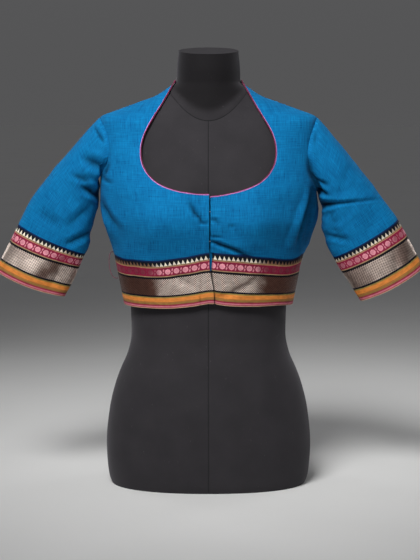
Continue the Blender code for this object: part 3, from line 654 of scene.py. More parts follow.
BACK_CREASES = [
    [(-150, 500, -1.5, 7), (-120, 478, -2.4, 8), (-88, 452, -1.4, 9), (-64, 436, 0.0, 9)],
    [(152, 488, -1.2, 7), (124, 466, -2.2, 8), (96, 446, -1.6, 8), (70, 434, 0.0, 9)],
    [(-108, 560, 0.0, 9), (-116, 536, -1.5, 7), (-128, 512, -1.0, 7), (-140, 494, 0.0, 8)],
    [(112, 572, 0.0, 9), (120, 544, -1.7, 7), (131, 516, -1.1, 7), (142, 498, 0.0, 8)],
    [(-40, 410, 0.0, 10), (-36, 378, -1.5, 9), (-38, 340, -0.7, 10), (-38, 312, 0.0, 10)],
    [(58, 424, 0.0, 10), (54, 386, -1.7, 9), (52, 350, -0.6, 9), (52, 318, 0.0, 10)],
    [(-24, 640, 0.0, 9), (4, 632, -1.0, 8), (34, 638, 0.0, 9)],
    [(-10, 470, 0.0, 13), (2, 440, -1.0, 11), (6, 412, 0.0, 12)],
]
SIDE_CREASES = {
    # distance from the side seam towards the front, z, depth, width
    "right": [
        [(-34, 492, 0.0, 8), (-10, 470, -2.0, 8), (18, 448, -1.5, 8), (38, 436, 0.0, 9)],
        [(0, 462, 0.0, 10), (0, 436, -2.2, 12), (0, 404, -0.8, 12), (0, 380, 0.0, 12)],
    ],
    "left": [
        [(0, 500, 0.0, 14), (0, 470, 3.0, 15), (0, 436, 3.4, 15), (0, 412, 4.0, 14),
         (0, 392, 1.0, 10)],
        [(-30, 486, 0.0, 9), (-26, 452, -2.2, 9), (-22, 414, -1.2, 9), (-20, 380, 0.0, 10)],
    ],
}


# %% What a crease does to the cloth
# the depths in the tables above are multiplied by this
CREASE_DEPTH = 1.5
TROUGH_POWER = 1.35
BESIDE = {"high": 0.24, "away": 2.2, "wide": 0.8}
SHADE_PER_MM = 0.22
SHADE_WIDE = 4.5
SHADE_SHARP = 1.2
DARKEST = 0.9
ARM_HOLLOW = {
    # height of its middle, half its height, depth in millimetres, shade
    "right": {"z": 545.0, "tall": 12.0, "deep": 2.0, "shade": 0.25},
    "left": {"z": 530.0, "tall": 18.0, "deep": 7.0, "shade": 0.72},
}


def crease_lift(across, up, creases):
    """How far the cloth stands out of its plain surface, and how much a fold shades it."""
    total = np.zeros_like(across)
    shade = np.zeros_like(across)
    for path in creases:
        nearest = np.full_like(across, 1e9)
        lift = np.zeros_like(across)
        dark = np.zeros_like(across)
        for (x0, z0, deep0, wide0), (x1, z1, deep1, wide1) in zip(path, path[1:]):
            run = np.array([x1 - x0, z1 - z0], float)
            t = np.clip(((across - x0) * run[0] + (up - z0) * run[1]) / (run @ run), 0, 1)
            gap = np.hypot(across - x0 - t * run[0], up - z0 - t * run[1])
            wide = wide0 + (wide1 - wide0) * t
            deep = deep0 + (deep1 - deep0) * t
            n = gap / wide
            beside = np.exp(-(((n - BESIDE["away"]) / BESIDE["wide"]) ** 2))
            shape = np.exp(-(n**TROUGH_POWER)) - BESIDE["high"] * beside
            narrow = np.minimum(1, SHADE_WIDE / wide) ** 1.5
            here = np.maximum(-deep, 0) * narrow * np.exp(-((SHADE_SHARP * n) ** 2))
            closer = n < nearest
            lift = np.where(closer, CREASE_DEPTH * deep * shape, lift)
            dark = np.where(closer, here, dark)
            nearest = np.where(closer, n, nearest)
        total = total + lift
        shade = shade + dark * SHADE_PER_MM
    return total, np.clip(shade, 0, DARKEST)


# %% The armhole's hollow, waves and distances
WAVE_LENGTHS = (85.0, 62.0, 47.0, 36.0, 27.0, 19.0, 14.0)
WAVE_HEIGHT = 0.55
HOLLOW_EASE = 10.0
AT_ONCE = 60


def arm_hollow(z, hand_name):
    """How far the front of the armhole seam is drawn in, as a share of its deepest place."""
    middle, tall = ARM_HOLLOW[hand_name]["z"], ARM_HOLLOW[hand_name]["tall"]
    ease = smooth_step((z - UNDERARM_Z[hand_name]) / HOLLOW_EASE)
    return np.exp(-(((z - middle) / tall) ** 2)) * ease


def unevenness(across, up, seed, height=WAVE_HEIGHT):
    """Faint waves of several lengths, in no order."""
    dice = np.random.RandomState(seed)
    total = np.zeros_like(across)
    for wave in WAVE_LENGTHS:
        for _ in range(2):
            turn = dice.uniform(0, 2 * np.pi)
            phase = dice.uniform(0, 2 * np.pi)
            far = across * np.cos(turn) + up * np.sin(turn)
            bend = np.sin((across * np.sin(turn) - up * np.cos(turn)) / (wave * 1.3) + phase)
            share = wave / WAVE_LENGTHS[0]
            total += share * np.sin(2 * np.pi * far / wave + phase + 1.4 * bend)
    return total * height / 3.0


def smooth_step(value):
    value = np.clip(value, 0, 1)
    return value * value * (3 - 2 * value)


def gap_to(points, edge):
    """Shortest distance of every point from an edge's points."""
    flat = points.reshape(-1, 3)
    best = np.full(len(flat), 1e9)
    for start in range(0, len(edge), AT_ONCE):
        part = edge[start:start + AT_ONCE]
        far = np.linalg.norm(flat[:, None] - part[None], axis=2).min(axis=1)
        best = np.minimum(best, far)
    return best.reshape(points.shape[:-1])


print("Creases drawn:", sum(len(paths) for paths in FRONT_CREASES.values()), "on the fronts,",
      len(BACK_CREASES), "on the back")


# %% [markdown]
# ## From a grid to a cloth shell
#
# We start each piece from Blender's own grid primitive, with as many cells as the panel's grid
# has, and move its vertices onto the panel. Cells over the neck opening are deleted. A Solidify
# modifier then gives the cloth its thickness, towards the inside. The UV map holds real
# millimetres along and across the cloth, so weave and border keep their size on every piece.


# %% A piece from rows of points
def grid_piece(name, points, flat, facing, keep=None, ring=False, shade=None):
    """Blender's grid with its vertices moved to the rows of points; flat is its UV map."""
    rows, columns = points.shape[:2]
    bpy.ops.object.select_all(action="DESELECT")
    bpy.ops.mesh.primitive_grid_add(x_subdivisions=columns - 1, y_subdivisions=rows - 1, size=1.0)
    piece = bpy.context.active_object
    piece.name = name
    mesh = piece.data
    mesh.name = name
    mesh.vertices.foreach_set("co", (points.reshape(-1, 3) * MM).ravel())
    corners = np.empty(len(mesh.loops), int)
    mesh.loops.foreach_get("vertex_index", corners)
    mesh.uv_layers[0].data.foreach_set("uv", (flat.reshape(-1, 2)[corners] * MM).ravel())
    if shade is not None:
        mesh.attributes.new("fold_shade", "FLOAT", "POINT").data.foreach_set("value", shade.ravel())
    mesh.update()
    normal = np.empty(len(mesh.polygons) * 3)
    mesh.polygons.foreach_get("normal", normal)
    first = np.empty(len(mesh.polygons), int)
    mesh.polygons.foreach_get("loop_start", first)
    out = facing.reshape(-1, 3)[corners[first]]
    if (normal.reshape(-1, 3) * out).sum(axis=1).mean() < 0:
        mesh.flip_normals()
    bpy.ops.object.mode_set(mode="EDIT")
    bpy.ops.mesh.select_mode(type="VERT")
    if keep is not None:
        bpy.ops.mesh.select_all(action="DESELECT")
        bpy.ops.object.mode_set(mode="OBJECT")
        mesh.vertices.foreach_set("select", ~keep.ravel())
        bpy.ops.object.mode_set(mode="EDIT")
        bpy.ops.mesh.delete(type="VERT")
    if ring:
        bpy.ops.mesh.select_all(action="SELECT")
        bpy.ops.mesh.remove_doubles(threshold=1e-6)
    bpy.ops.object.mode_set(mode="OBJECT")
    return piece


# %% Thickness, area and the tie to the frame
CLOTH = 0.7


def thicken(piece, thickness):
    """Cloth thickness towards the inside, and smooth shading that keeps the cut edges crisp."""
    bpy.ops.object.select_all(action="DESELECT")
    piece.select_set(True)
    bpy.context.view_layer.objects.active = piece
    solid = piece.modifiers.new("cloth", "SOLIDIFY")
    solid.thickness = thickness * MM
    solid.offset = -1.0
    solid.use_rim = True
    bpy.ops.object.modifier_apply(modifier=solid.name)
    bpy.ops.object.shade_smooth_by_angle(angle=math.radians(55))


def cloth_area(points, keep=None):
    """Area of one layer of a grid, in square metres."""
    a, b, c, d = points[:-1, :-1], points[:-1, 1:], points[1:, 1:], points[1:, :-1]
    cell = np.linalg.norm(np.cross(c - a, d - b), axis=-1) / 2
    if keep is not None:
        cell = cell * (keep[:-1, :-1] & keep[:-1, 1:] & keep[1:, 1:] & keep[1:, :-1])
    return float(cell.sum()) * MM * MM


def dress(piece, node, flat, area):
    """Attaches a sheet to the root body, hides the solid it stands for, and prints its cut and
    area.
    """
    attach(piece, "root")
    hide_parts(node)
    print(f"{piece.name}: {len(piece.data.polygons)} faces, cut {flat[0]:.3f} x {flat[1]:.3f} m, "
          f"{area:.4f} m2")


# %% Lengths round the body, for the UV maps
SECTION_COLUMNS = 160
SECTION_STEP = 5.0
SECTION_SHARES = shares_to_side(0.0, SECTION_COLUMNS)
SECTION_LEVELS = np.arange(300.0, 700.0, SECTION_STEP)


def section_lengths(side):
    """For each level, the length from the middle to each share, along the cloth."""
    table = []
    for z in SECTION_LEVELS:
        points = on_torso(SECTION_SHARES, np.full_like(SECTION_SHARES, z), side)
        table.append(far_along(points))
    return np.array(table)


LENGTHS = {-1: section_lengths(-1), 1: section_lengths(1)}


def length_round(share, z, side):
    """Distance along the cloth from the middle to each (share, z); negative on the right."""
    row = np.clip((z - SECTION_LEVELS[0]) / SECTION_STEP, 0, len(SECTION_LEVELS) - 1.001)
    column = np.arcsin(np.clip(np.abs(share), 0, 1)) / (np.pi / 2) * SECTION_COLUMNS
    column = np.clip(column, 0, SECTION_COLUMNS - 0.001)
    r, c = row.astype(int), column.astype(int)
    fr, fc = row - r, column - c
    table = LENGTHS[side]
    low = table[r, c] * (1 - fc) + table[r, c + 1] * fc
    high = table[r + 1, c] * (1 - fc) + table[r + 1, c + 1] * fc
    return np.sign(share) * (low * (1 - fr) + high * fr)


# %% [markdown]
# ## Cutting and shaping the torso pieces
#
# A piece's points come from its grid, its creases and its edges. The creases that cross a side
# seam are read by the front and by the back alike, so the two sides meet. Near a seam the cloth
# sinks by a fraction of a millimetre, and beside it the cloth ripples faintly where the machine
# drew it in. In front, low on the armhole, the seam is drawn back between arm and body, as
# ARM_HOLLOW says; the torso and the sleeve both follow it, so they still meet.

# %% Points of a torso piece
SEAM_SINK = 0.25
ARMHOLE_SINK = 0.06
SEAM_WIDE = 1.8
HOLLOW_WIDE = 7.0
WAVE_SEED = 11
SIDE_FADE = {"from": 0.962, "over": 0.036}
STILL_WIDE = 6.0
RIPPLE = {"high": 0.12, "away": 4.0, "wide": 4.0}


def torso_points(grid, side, hand, creases, seams=(), still=(), sink=0.0, armhole_edge=None):
    """Outer points, facing, shade and keep mask of a piece; the edges are grid slices."""
    keep = ~np.isnan(grid[..., 0])
    share = np.where(keep, grid[..., 0], 0.5)
    z = np.where(keep, grid[..., 1], 500.0)
    points = on_torso(np.abs(share), z, side)
    facing = BLOUSE.normals(points, side)
    sign = np.where(share < 0, -1.0, 1.0)
    points[..., 0] *= sign
    facing[..., 0] *= sign
    lift, shade = crease_lift(points[..., 0], z, creases)
    lift = lift + unevenness(points[..., 0] * hand + 400 * (side > 0), z, WAVE_SEED)
    lift *= 1 - smooth_step((np.abs(share) - SIDE_FADE["from"]) / SIDE_FADE["over"])
    beside = (length_round(np.ones_like(z), z, side) - length_round(np.abs(share), z, side)) * -side
    own = np.where(share * hand < 0, "right", "left")
    for name in SIDE_CREASES:
        more, dark = crease_lift(beside, z, SIDE_CREASES[name])
        lift = lift + more * (own == name)
        shade = np.maximum(shade, dark * (own == name))
    for edge in still:
        lift *= 1 - np.exp(-((gap_to(points, points[edge]) / STILL_WIDE) ** 2))
    for edge in seams:
        away = gap_to(points, points[edge])
        depth = ARMHOLE_SINK if edge == armhole_edge else SEAM_SINK
        lift = lift - depth * np.exp(-((away / SEAM_WIDE) ** 2))
        near = np.exp(-((away - RIPPLE["away"]) / RIPPLE["wide"]) ** 2)
        lift = lift + RIPPLE["high"] * np.sin(z / 1.9 + 0.8 * np.sin(z / 7.0)) * near
    points = points + facing * (lift - sink)[..., None]
    if armhole_edge is not None:
        name = "right" if hand < 0 else "left"
        away = gap_to(points, points[armhole_edge])
        drawn = arm_hollow(z, name) * np.exp(-((away / HOLLOW_WIDE) ** 2))
        points[..., 1] += ARM_HOLLOW[name]["deep"] * drawn
        shade = np.maximum(shade, ARM_HOLLOW[name]["shade"] * drawn)
    points[..., 0] *= hand
    facing[..., 0] *= hand
    return points, facing, shade, keep


# %% UV map of a torso piece
BORDER_WIDTH = 85.5


def torso_flat(grid, side, hand, low=None):
    """UV map in millimetres: along the body, and up the cloth or up the border from its hem."""
    keep = ~np.isnan(grid[..., 0])
    share = np.where(keep, grid[..., 0], 0.5)
    z = np.where(keep, grid[..., 1], 500.0)
    if low is None:
        return np.stack([length_round(share, z, side) * hand, z], axis=-1)
    up = np.linspace(0, BORDER_WIDTH, grid.shape[0])[:, None] + 0 * z
    return np.stack([length_round(share, np.full_like(z, low), side) * hand, up], axis=-1)


# %% [markdown]
# ## The fronts
#
# The wearer's right front laps over the left one. Its free edge is turned in, so it stands a
# little proud, and the left front dips beside it, which is why the opening reads as one dark line.
# Along its armhole and over the shoulder a front keeps still, so that it meets sleeve and back.

# %% Both fronts
LAP = {"right": 1.2, "left": -2.2}
LAP_WIDE = {"right": 9.0, "left": 2.4}
FRONT_CUT = (0.27, 0.30)


def lap_lift(points, facing, hand_name, edge_x):
    """Raises the front that laps over, and sinks the one below it beside the opening."""
    away = np.abs(points[..., 0] - edge_x)
    amount = LAP[hand_name] * np.exp(-((away / LAP_WIDE[hand_name]) ** 2))
    return points + facing * amount[..., None]


front_points = {}
for hand_name, hand in HAND.items():
    grid = front_grid(hand_name)
    low, inner = ROWS["front_low"], COLUMNS["opening_to_neck"]
    waist, side_seam = (0, slice(None)), (slice(0, low + 1), -1)
    armhole_edge, shoulder_edge = (slice(low, None), -1), (-1, slice(inner, None))
    points, facing, shade, keep = torso_points(
        grid, -1, hand, FRONT_CREASES[hand_name],
        seams=[waist, side_seam, armhole_edge, shoulder_edge],
        still=[armhole_edge, shoulder_edge], armhole_edge=armhole_edge)
    points = lap_lift(points, facing, hand_name, FRONT_EDGE[hand_name])
    front_points[hand_name] = (points, facing)
    piece = grid_piece(f"cloth_front_{hand_name}", points, torso_flat(grid, -1, hand), facing, keep,
                       shade=shade)
    thicken(piece, CLOTH)
    dress(piece, f"front_{hand_name}", FRONT_CUT,
          round(cloth_area(points, keep), 4))

# %% [markdown]
# ## The back, the borders and the strip behind the opening
#
# The back is cut in one piece. The border is a woven strip, sewn on below the waist seam and
# seamed at the sides. Behind the opening lies a strip of the same blue cotton, which shows where
# the two halves of the border part.

# %% Back
BACK_CUT = (0.47, 0.31)
back_rows = both_halves(back_half("right"), back_half("left"))
high, outer = ROWS["back_low"], COLUMNS["back_side"]
shoulders = [(-1, slice(0, outer + 1)), (-1, slice(-outer - 1, None))]
back_points, back_facing, shade, _ = torso_points(
    back_rows, 1, 1.0, BACK_CREASES,
    seams=[(0, slice(None)), (slice(None), 0), (slice(None), -1), *shoulders],
    still=[(slice(high, None), 0), (slice(high, None), -1), *shoulders])
flat = torso_flat(back_rows, 1, 1.0)
piece = grid_piece("cloth_back", back_points, flat, back_facing, shade=shade)
thicken(piece, CLOTH)
dress(piece, "back", BACK_CUT, round(cloth_area(back_points), 4))

# %% Borders of the hem
BORDER_MIDDLE_Z = 352.0
HEM_CUT = {"front": (0.235, 0.0855), "back": (0.43, 0.0855)}
TUCK_SHADE = 0.8
TUCK_WIDE = 1.8
for hand_name, hand in HAND.items():
    grid = front_band_grid(hand_name)
    points, facing, shade, _ = torso_points(grid, -1, hand, FRONT_CREASES[hand_name],
                                            seams=[(-1, slice(None)), (slice(None), -1)])
    edge_x = curve_through(OPENING, grid[..., 1], OPENING_COLUMN[hand_name])
    points = lap_lift(points, facing, hand_name, edge_x)
    if hand_name == "left":
        # this edge is tucked under the other border, so little light reaches it
        tucked = np.exp(-(((points[..., 0] - edge_x) / TUCK_WIDE) ** 2))
        shade = np.maximum(shade, TUCK_SHADE * tucked)
    flat = torso_flat(grid, -1, hand, BORDER_MIDDLE_Z)
    piece = grid_piece(f"border_front_{hand_name}", points, flat, facing, shade=shade)
    thicken(piece, CLOTH)
    dress(piece, f"hem_band_{hand_name}", HEM_CUT["front"],
          round(cloth_area(points), 4))

grid = back_band_grid()
points, facing, shade, _ = torso_points(
    grid, 1, 1.0, BACK_CREASES, seams=[(-1, slice(None)), (slice(None), 0), (slice(None), -1)])
flat = torso_flat(grid, 1, 1.0, BORDER_MIDDLE_Z)
piece = grid_piece("border_back", points, flat, facing, shade=shade)
thicken(piece, CLOTH)
dress(piece, "hem_band_back", HEM_CUT["back"], round(cloth_area(points), 4))

# %% Strip behind the opening
PLACKET_CUT = (0.038, 0.126)
PLACKET_SINK = 3.8
OPENING_SHADE = {"dark": 0.75, "from_z": 404.0, "over": 10.0}
grid = placket_grid()
points, facing, _, _ = torso_points(grid, -1, 1.0, [], sink=PLACKET_SINK)
higher = (grid[..., 1] - OPENING_SHADE["from_z"]) / OPENING_SHADE["over"]
shade = OPENING_SHADE["dark"] * smooth_step(higher)
piece = grid_piece("cloth_placket", points, torso_flat(grid, -1, 1.0), facing, shade=shade)
thicken(piece, CLOTH)
dress(piece, "placket", PLACKET_CUT, round(cloth_area(points), 4))

# %% [markdown]
# ## The hooks
#
# Two pale glints show in the opening. We take them for hooks of bent wire and make each as a small
# ring, a torus stretched upwards, which sits beside the right front's edge and partly behind it.

# %% Two wire hooks in the opening
HOOKS = {
    # height and how far it is sunk behind the surface, in millimetres
    "hook_upper": (473.0, 2.9),
    "hook_lower": (424.5, 1.0),
}
WIRE_RADIUS = 0.4
HOOK_RADIUS = 1.0
HOOK_TALL = 1.7
HOOK_ASIDE = 0.9
for hook_name, (z, sunk) in HOOKS.items():
    edge_x = curve_through(OPENING, np.array([z]), OPENING_COLUMN["right"])
    x = float(edge_x[0]) + HOOK_ASIDE
    y = float(BLOUSE.depth(np.array([x]), np.array([z]), -1)[0])
    bpy.ops.object.select_all(action="DESELECT")
    bpy.ops.mesh.primitive_torus_add(
        major_radius=HOOK_RADIUS * MM, minor_radius=WIRE_RADIUS * MM, major_segments=28,
        minor_segments=10, location=(x * MM, (y + sunk) * MM, z * MM))
    hook = bpy.context.active_object
    hook.name = hook_name
    bpy.ops.object.mode_set(mode="EDIT")
    bpy.ops.mesh.select_all(action="SELECT")
    bpy.ops.transform.resize(value=(1.0, 1.0, HOOK_TALL))
    bpy.ops.object.mode_set(mode="OBJECT")
    bpy.ops.object.transform_apply(location=True, rotation=True, scale=True)
    bpy.ops.object.shade_smooth()
    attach(hook, "root")
    print(hook.name, "at", round(x, 1), round(y, 1), z)

# %% [markdown]
# ## The sleeves
#
# A sleeve is a tube that leaves the armhole seam and hangs away from the body, flaring to the
# elbow. Its outline in front view comes from two lines, the outer one and the underarm one, and
# its rings are eased from the shape of the armhole to the shape of the tube. Creases run out from
# the underarm, where the cloth has nowhere else to go. The border is the end of the same tube.

# %% Sleeve tables, in millimetres
SLEEVE_LINES = {
    "right": np.array([
        # share, outer_x, outer_z, underarm_x, underarm_z, half_depth
        [0.0, 181.5, 623.0, 222.0, 508.0, 52.0],
        [0.06, 193.5, 617.0, 218.0, 502.0, 50.0],
        [0.12, 203.5, 605.5, 195.0, 491.0, 48.0],
        [0.2, 217.0, 588.0, 187.0, 486.0, 46.0],
        [0.3, 237.5, 563.5, 186.5, 473.0, 44.0],
        [0.4, 259.0, 538.0, 194.5, 450.0, 42.0],
        [0.6, 297.0, 489.0, 201.0, 414.0, 38.0],
        [0.735, 321.5, 444.5, 208.5, 393.5, 35.0],
        [1.0, 361.0, 365.0, 244.2, 320.6, 30.0],
    ]),
    "left": np.array([
        # share, outer_x, outer_z, underarm_x, underarm_z, half_depth
        [0.0, 181.5, 623.0, 186.0, 500.0, 52.0],
        [0.06, 192.5, 617.0, 194.0, 489.5, 50.0],
        [0.2, 220.0, 582.0, 192.5, 468.0, 46.0],
        [0.4, 256.0, 536.0, 192.0, 442.0, 42.0],
        [0.6, 291.0, 492.0, 199.5, 412.0, 38.0],
        [0.735, 319.5, 452.0, 211.3, 387.5, 35.0],
        [1.0, 365.0, 371.0, 258.5, 313.0, 30.0],
    ]),
}
BORDER_FROM = 0.735
CUFF_BOW = 4.0
SLEEVE_LENGTH = 300.0
ARM_RADIUS = 40.0
SLEEVE_WAVES = 0.9
SLEEVE_SEED = {"right": 23, "left": 29}
SLEEVE_CREASES = {
    # on the front half: x away from the body's middle, z, depth, width
    "right": [
        [(214, 560, 0.0, 7), (204, 556, -3.4, 6), (192, 549, -5.6, 7), (180, 543, -4.8, 7),
         (170, 541, 0.0, 6)],
        [(212, 544, 0.0, 6), (200, 536, 1.4, 6), (188, 530, 1.2, 6), (178, 527, 0.0, 6)],
        [(230, 531, 0.0, 5), (218, 526, -2.4, 4.5), (206, 520, -3.0, 4.5), (194, 518, 0.0, 5)],
        [(214, 511, 0.0, 5), (204, 505, -4.4, 5.5), (194, 499, -5.4, 5.5), (184, 492, -3.0, 5)],
        [(244, 410, 0.0, 6), (230, 415, -2.4, 5), (212, 423, -3.0, 5), (198, 430, -2.0, 6)],
        [(240, 438, 0.0, 7), (226, 450, -1.8, 6.5), (210, 463, -2.2, 6.5), (194, 477, -1.2, 7)],
        [(292, 476, 0.0, 10), (276, 462, -2.0, 8), (258, 448, -1.4, 8), (250, 440, 0.0, 9)],
        [(193, 611, 0.0, 2.4), (187, 602, -2.6, 2.5), (178, 589, -2.8, 2.6), (172, 580, 0.0, 2.6)],
        [(224, 545, 0.0, 6), (222, 528, 1.4, 6), (228, 512, 0.0, 6)],
        [(240, 540, 0.0, 18), (262, 510, 1.6, 16), (286, 480, 0.0, 18)],
        [(338, 346, 0.0, 12), (322, 370, -1.4, 11), (310, 394, -0.8, 11), (302, 412, 0.0, 11)],
        [(276, 328, 0.0, 13), (258, 350, -4.0, 14), (248, 372, -2.6, 13), (238, 392, 0.0, 12)],
    ],
    "left": [
        [(186, 476, -6.0, 6), (200, 478.5, -4.2, 4.5), (216, 480.5, -2.8, 2.8),
         (245, 483.5, -2.0, 2.4), (272, 486, -1.4, 2.4), (292, 487, 0.0, 2.4)],
        [(196, 488, 0.0, 5), (214, 489, 1.3, 5), (250, 492, 0.8, 6), (280, 494, 0.0, 6)],
        [(163, 560, -1.0, 5), (168, 540, -5.0, 6), (174, 522, -6.4, 7), (180, 508, -4.6, 6.5),
         (187, 499, -2.0, 6)],
        [(182, 518, -2.0, 3), (191, 515, -3.2, 3), (202, 510, 0.0, 3.5)],
        [(184, 500, -3.4, 2.8), (193, 497, -3.6, 2.8), (204, 493, 0.0, 3)],
        [(198, 426, -1.0, 5), (212, 424, -2.6, 4.5), (226, 421, -2.2, 4.5), (242, 418, 0.0, 5)],
        [(200, 438, 0.0, 4), (212, 435, -1.8, 4), (228, 431, 0.0, 5)],
        [(194, 472, 0.0, 6), (203, 461, -2.2, 7), (209, 449, -1.8, 7), (206, 438, 0.0, 7)],
        [(170, 622, 0.0, 4), (168, 604, 1.3, 4), (170, 585, 0.0, 5)],
        [(180, 604, 0.0, 4), (178, 590, -1.2, 4), (176, 572, 0.0, 5)],
        [(262, 470, 0.0, 16), (270, 440, -1.4, 14), (262, 412, 0.0, 14)],
        [(322, 352, 0.0, 12), (316, 376, -1.8, 11), (312, 400, -1.0, 11), (306, 420, 0.0, 11)],
        [(352, 366, 0.0, 8), (344, 388, -1.4, 8), (334, 412, 0.0, 9)],
    ],
}
SLEEVE_BACK_CREASES = [
    [(178, 556, -3.0, 7), (192, 552, -3.6, 7), (208, 549, -2.0, 8), (224, 548, 0.0, 9)],
    [(186, 520, -3.4, 6), (200, 516, -3.0, 6), (216, 514, 0.0, 7)],
    [(196, 470, -2.4, 7), (214, 476, -2.8, 6), (236, 486, -1.6, 7), (262, 500, 0.0, 8)],
    [(204, 428, -2.0, 7), (224, 432, -2.0, 7), (248, 442, 0.0, 8)],
    [(300, 400, 0.0, 11), (312, 376, -1.6, 10), (322, 350, 0.0, 11)],
]


# %% Surface of a sleeve
EASE_UNTIL = 0.3
TUBE_POWER = 0.9
TOP_BACK = 3.0
CLEAR_OF_SEAM = 0.1


def sleeve_surface(hand_name, share, turn):
    """Points of a sleeve; turn runs from the outer line over the front to the underarm."""
    table = SLEEVE_LINES[hand_name]
    read = [curve_through(table, share, k) for k in range(1, 6)]
    top = np.stack([read[0], np.zeros_like(share), read[1]], axis=-1)
    low = np.stack([read[2], np.zeros_like(share), read[3]], axis=-1)
    middle, half = (top + low) / 2, (top - low) / 2
    round_it = np.sign(np.sin(turn)) * np.abs(np.sin(turn)) ** TUBE_POWER
    fore = np.array([0.0, -1.0, 0.0])
    tube = middle + half * np.cos(turn)[..., None] + fore * (read[4] * round_it)[..., None]
    tube[..., 1] += TOP_BACK * (1 - share)
    along_arm = np.stack([half[..., 2], np.zeros_like(share), -half[..., 0]], axis=-1)
    along_arm /= np.linalg.norm(along_arm, axis=-1, keepdims=True)
    tube += along_arm * (CUFF_BOW * share**2 * np.sin(turn) ** 2)[..., None]
    rise = (1 + np.cos(turn)) / 2
    seam = np.empty_like(tube)
    for side in (-1, 1):
        xz = armhole(side, hand_name, rise)
        x = np.minimum(xz[..., 0], BLOUSE.at(xz[..., 1], "half_width"))
        y = BLOUSE.depth(x, xz[..., 1], side)
        pick = (np.sin(turn) >= 0) if side < 0 else (np.sin(turn) < 0)
        seam[pick] = np.stack([xz[..., 0] + CLEAR_OF_SEAM, y, xz[..., 1]], axis=-1)[pick]
    ease = smooth_step(share / EASE_UNTIL)[..., None]
    return seam * (1 - ease) + tube * ease


# %% Rings of a sleeve, with creases and seams
SHARE_STEP = 1e-3
TURN_STEP = 0.02
GATHERS = {"high": 0.35, "from": 0.035, "wide": 0.03}


def sleeve_points(hand_name, shares, count):
    """Outer points and facing of a sleeve's rings, with creases and seams."""
    turn = np.linspace(0, 2 * np.pi, count + 1)
    share, turn = np.meshgrid(shares, turn, indexing="ij")
    points = sleeve_surface(hand_name, share, turn)
    ahead = sleeve_surface(hand_name, np.minimum(share + SHARE_STEP, 1), turn)
    behind = sleeve_surface(hand_name, np.maximum(share - SHARE_STEP, 0), turn)
    onward = sleeve_surface(hand_name, share, turn + TURN_STEP)
    backward = sleeve_surface(hand_name, share, turn - TURN_STEP)
    facing = np.cross(onward - backward, ahead - behind)
    facing /= np.linalg.norm(facing, axis=-1, keepdims=True)
    front = smooth_step((np.sin(turn) + 0.25) / 0.5)
    x, z = points[..., 0], points[..., 2]
    lift, shade = crease_lift(x, z, SLEEVE_CREASES[hand_name])
    lift_back, shade_back = crease_lift(x, z, SLEEVE_BACK_CREASES)
    lift = lift * front + lift_back * (1 - front)
    shade = shade * front + shade_back * (1 - front)
    down = share * SLEEVE_LENGTH
    seed = SLEEVE_SEED[hand_name]
    wander = unevenness(turn * ARM_RADIUS, down, seed, SLEEVE_WAVES)
    wander_back = unevenness((turn - 2 * np.pi) * ARM_RADIUS, down, seed, SLEEVE_WAVES)
    blend = smooth_step((turn - 1.6 * np.pi) / (0.4 * np.pi))
    lift += wander * (1 - blend) + wander_back * blend
    near_top = np.exp(-((share - GATHERS["from"]) / GATHERS["wide"]) ** 2)
    gathers = np.sin(turn * 14 + 1.2 * np.sin(turn * 3)) * near_top
    lift += GATHERS["high"] * gathers * (0.4 + 0.6 * np.abs(np.cos(turn)))
    lift *= np.clip(share / GATHERS["wide"], 0, 1)
    lift -= ARMHOLE_SINK * np.exp(-((down / SEAM_WIDE) ** 2))
    lift -= SEAM_SINK * np.exp(-(((share - BORDER_FROM) * SLEEVE_LENGTH / SEAM_WIDE) ** 2))
    points = points + facing * lift[..., None]
    drawn = arm_hollow(z, hand_name) * np.exp(-((down / HOLLOW_WIDE) ** 2)) * (np.sin(turn) > 0)
    points[..., 1] += ARM_HOLLOW[hand_name]["deep"] * drawn
    shade = np.maximum(shade, ARM_HOLLOW[hand_name]["shade"] * drawn)
    points[:, -1] = points[:, 0]
    hand = HAND[hand_name]
    points[..., 0] *= hand
    facing[..., 0] *= hand
    return points, facing, shade


# %% Both sleeves and their borders
AROUND = 220
CLOTH_RINGS = 104
BORDER_RINGS = 42
SLEEVE_CUTS = {
    # width and length of the flat piece, in metres
    "right": {"cloth": (0.34, 0.235), "border": (0.305, 0.0855)},
    "left": {"cloth": (0.34, 0.235), "border": (0.325, 0.0855)},
}
for hand_name, hand in HAND.items():
    for part, shares in (("cloth", np.linspace(0, BORDER_FROM, CLOTH_RINGS)),
                         ("border", np.linspace(BORDER_FROM, 1.0, BORDER_RINGS))):
        points, facing, shade = sleeve_points(hand_name, shares, AROUND)
        around = far_along(points[len(shares) // 2])
        if part == "cloth":
            up = -shares * SLEEVE_LENGTH
        else:
            up = BORDER_WIDTH * (1 - (shares - BORDER_FROM) / (1 - BORDER_FROM))
        flat = np.stack(np.meshgrid(around, up), axis=-1)
        piece = grid_piece(f"{part}_sleeve_{hand_name}", points, flat, facing, ring=True,
                           shade=shade)
        thicken(piece, CLOTH)
        area = round(cloth_area(points), 4)
        node = f"sleeve_{hand_name}" if part == "cloth" else f"sleeve_band_{hand_name}"
        cut = SLEEVE_CUTS[hand_name][part]
        dress(piece, node, cut,
              min(area, cut[0] * cut[1]))

# %% [markdown]
# ## The neck piping
#
# Piping is a bias strip folded over a fine filler and caught in the neck seam. It follows the
# panels' own neck edges, so it is made from their points: first the right front from the opening
# up to the shoulder, then the back of the neck, then the left front down again.

# %% Tube along a path
PIPING_RADIUS = 1.35
PIPING_BITE = 0.1
PIPING_STEPS = 560
PIPING_SIDES = 16


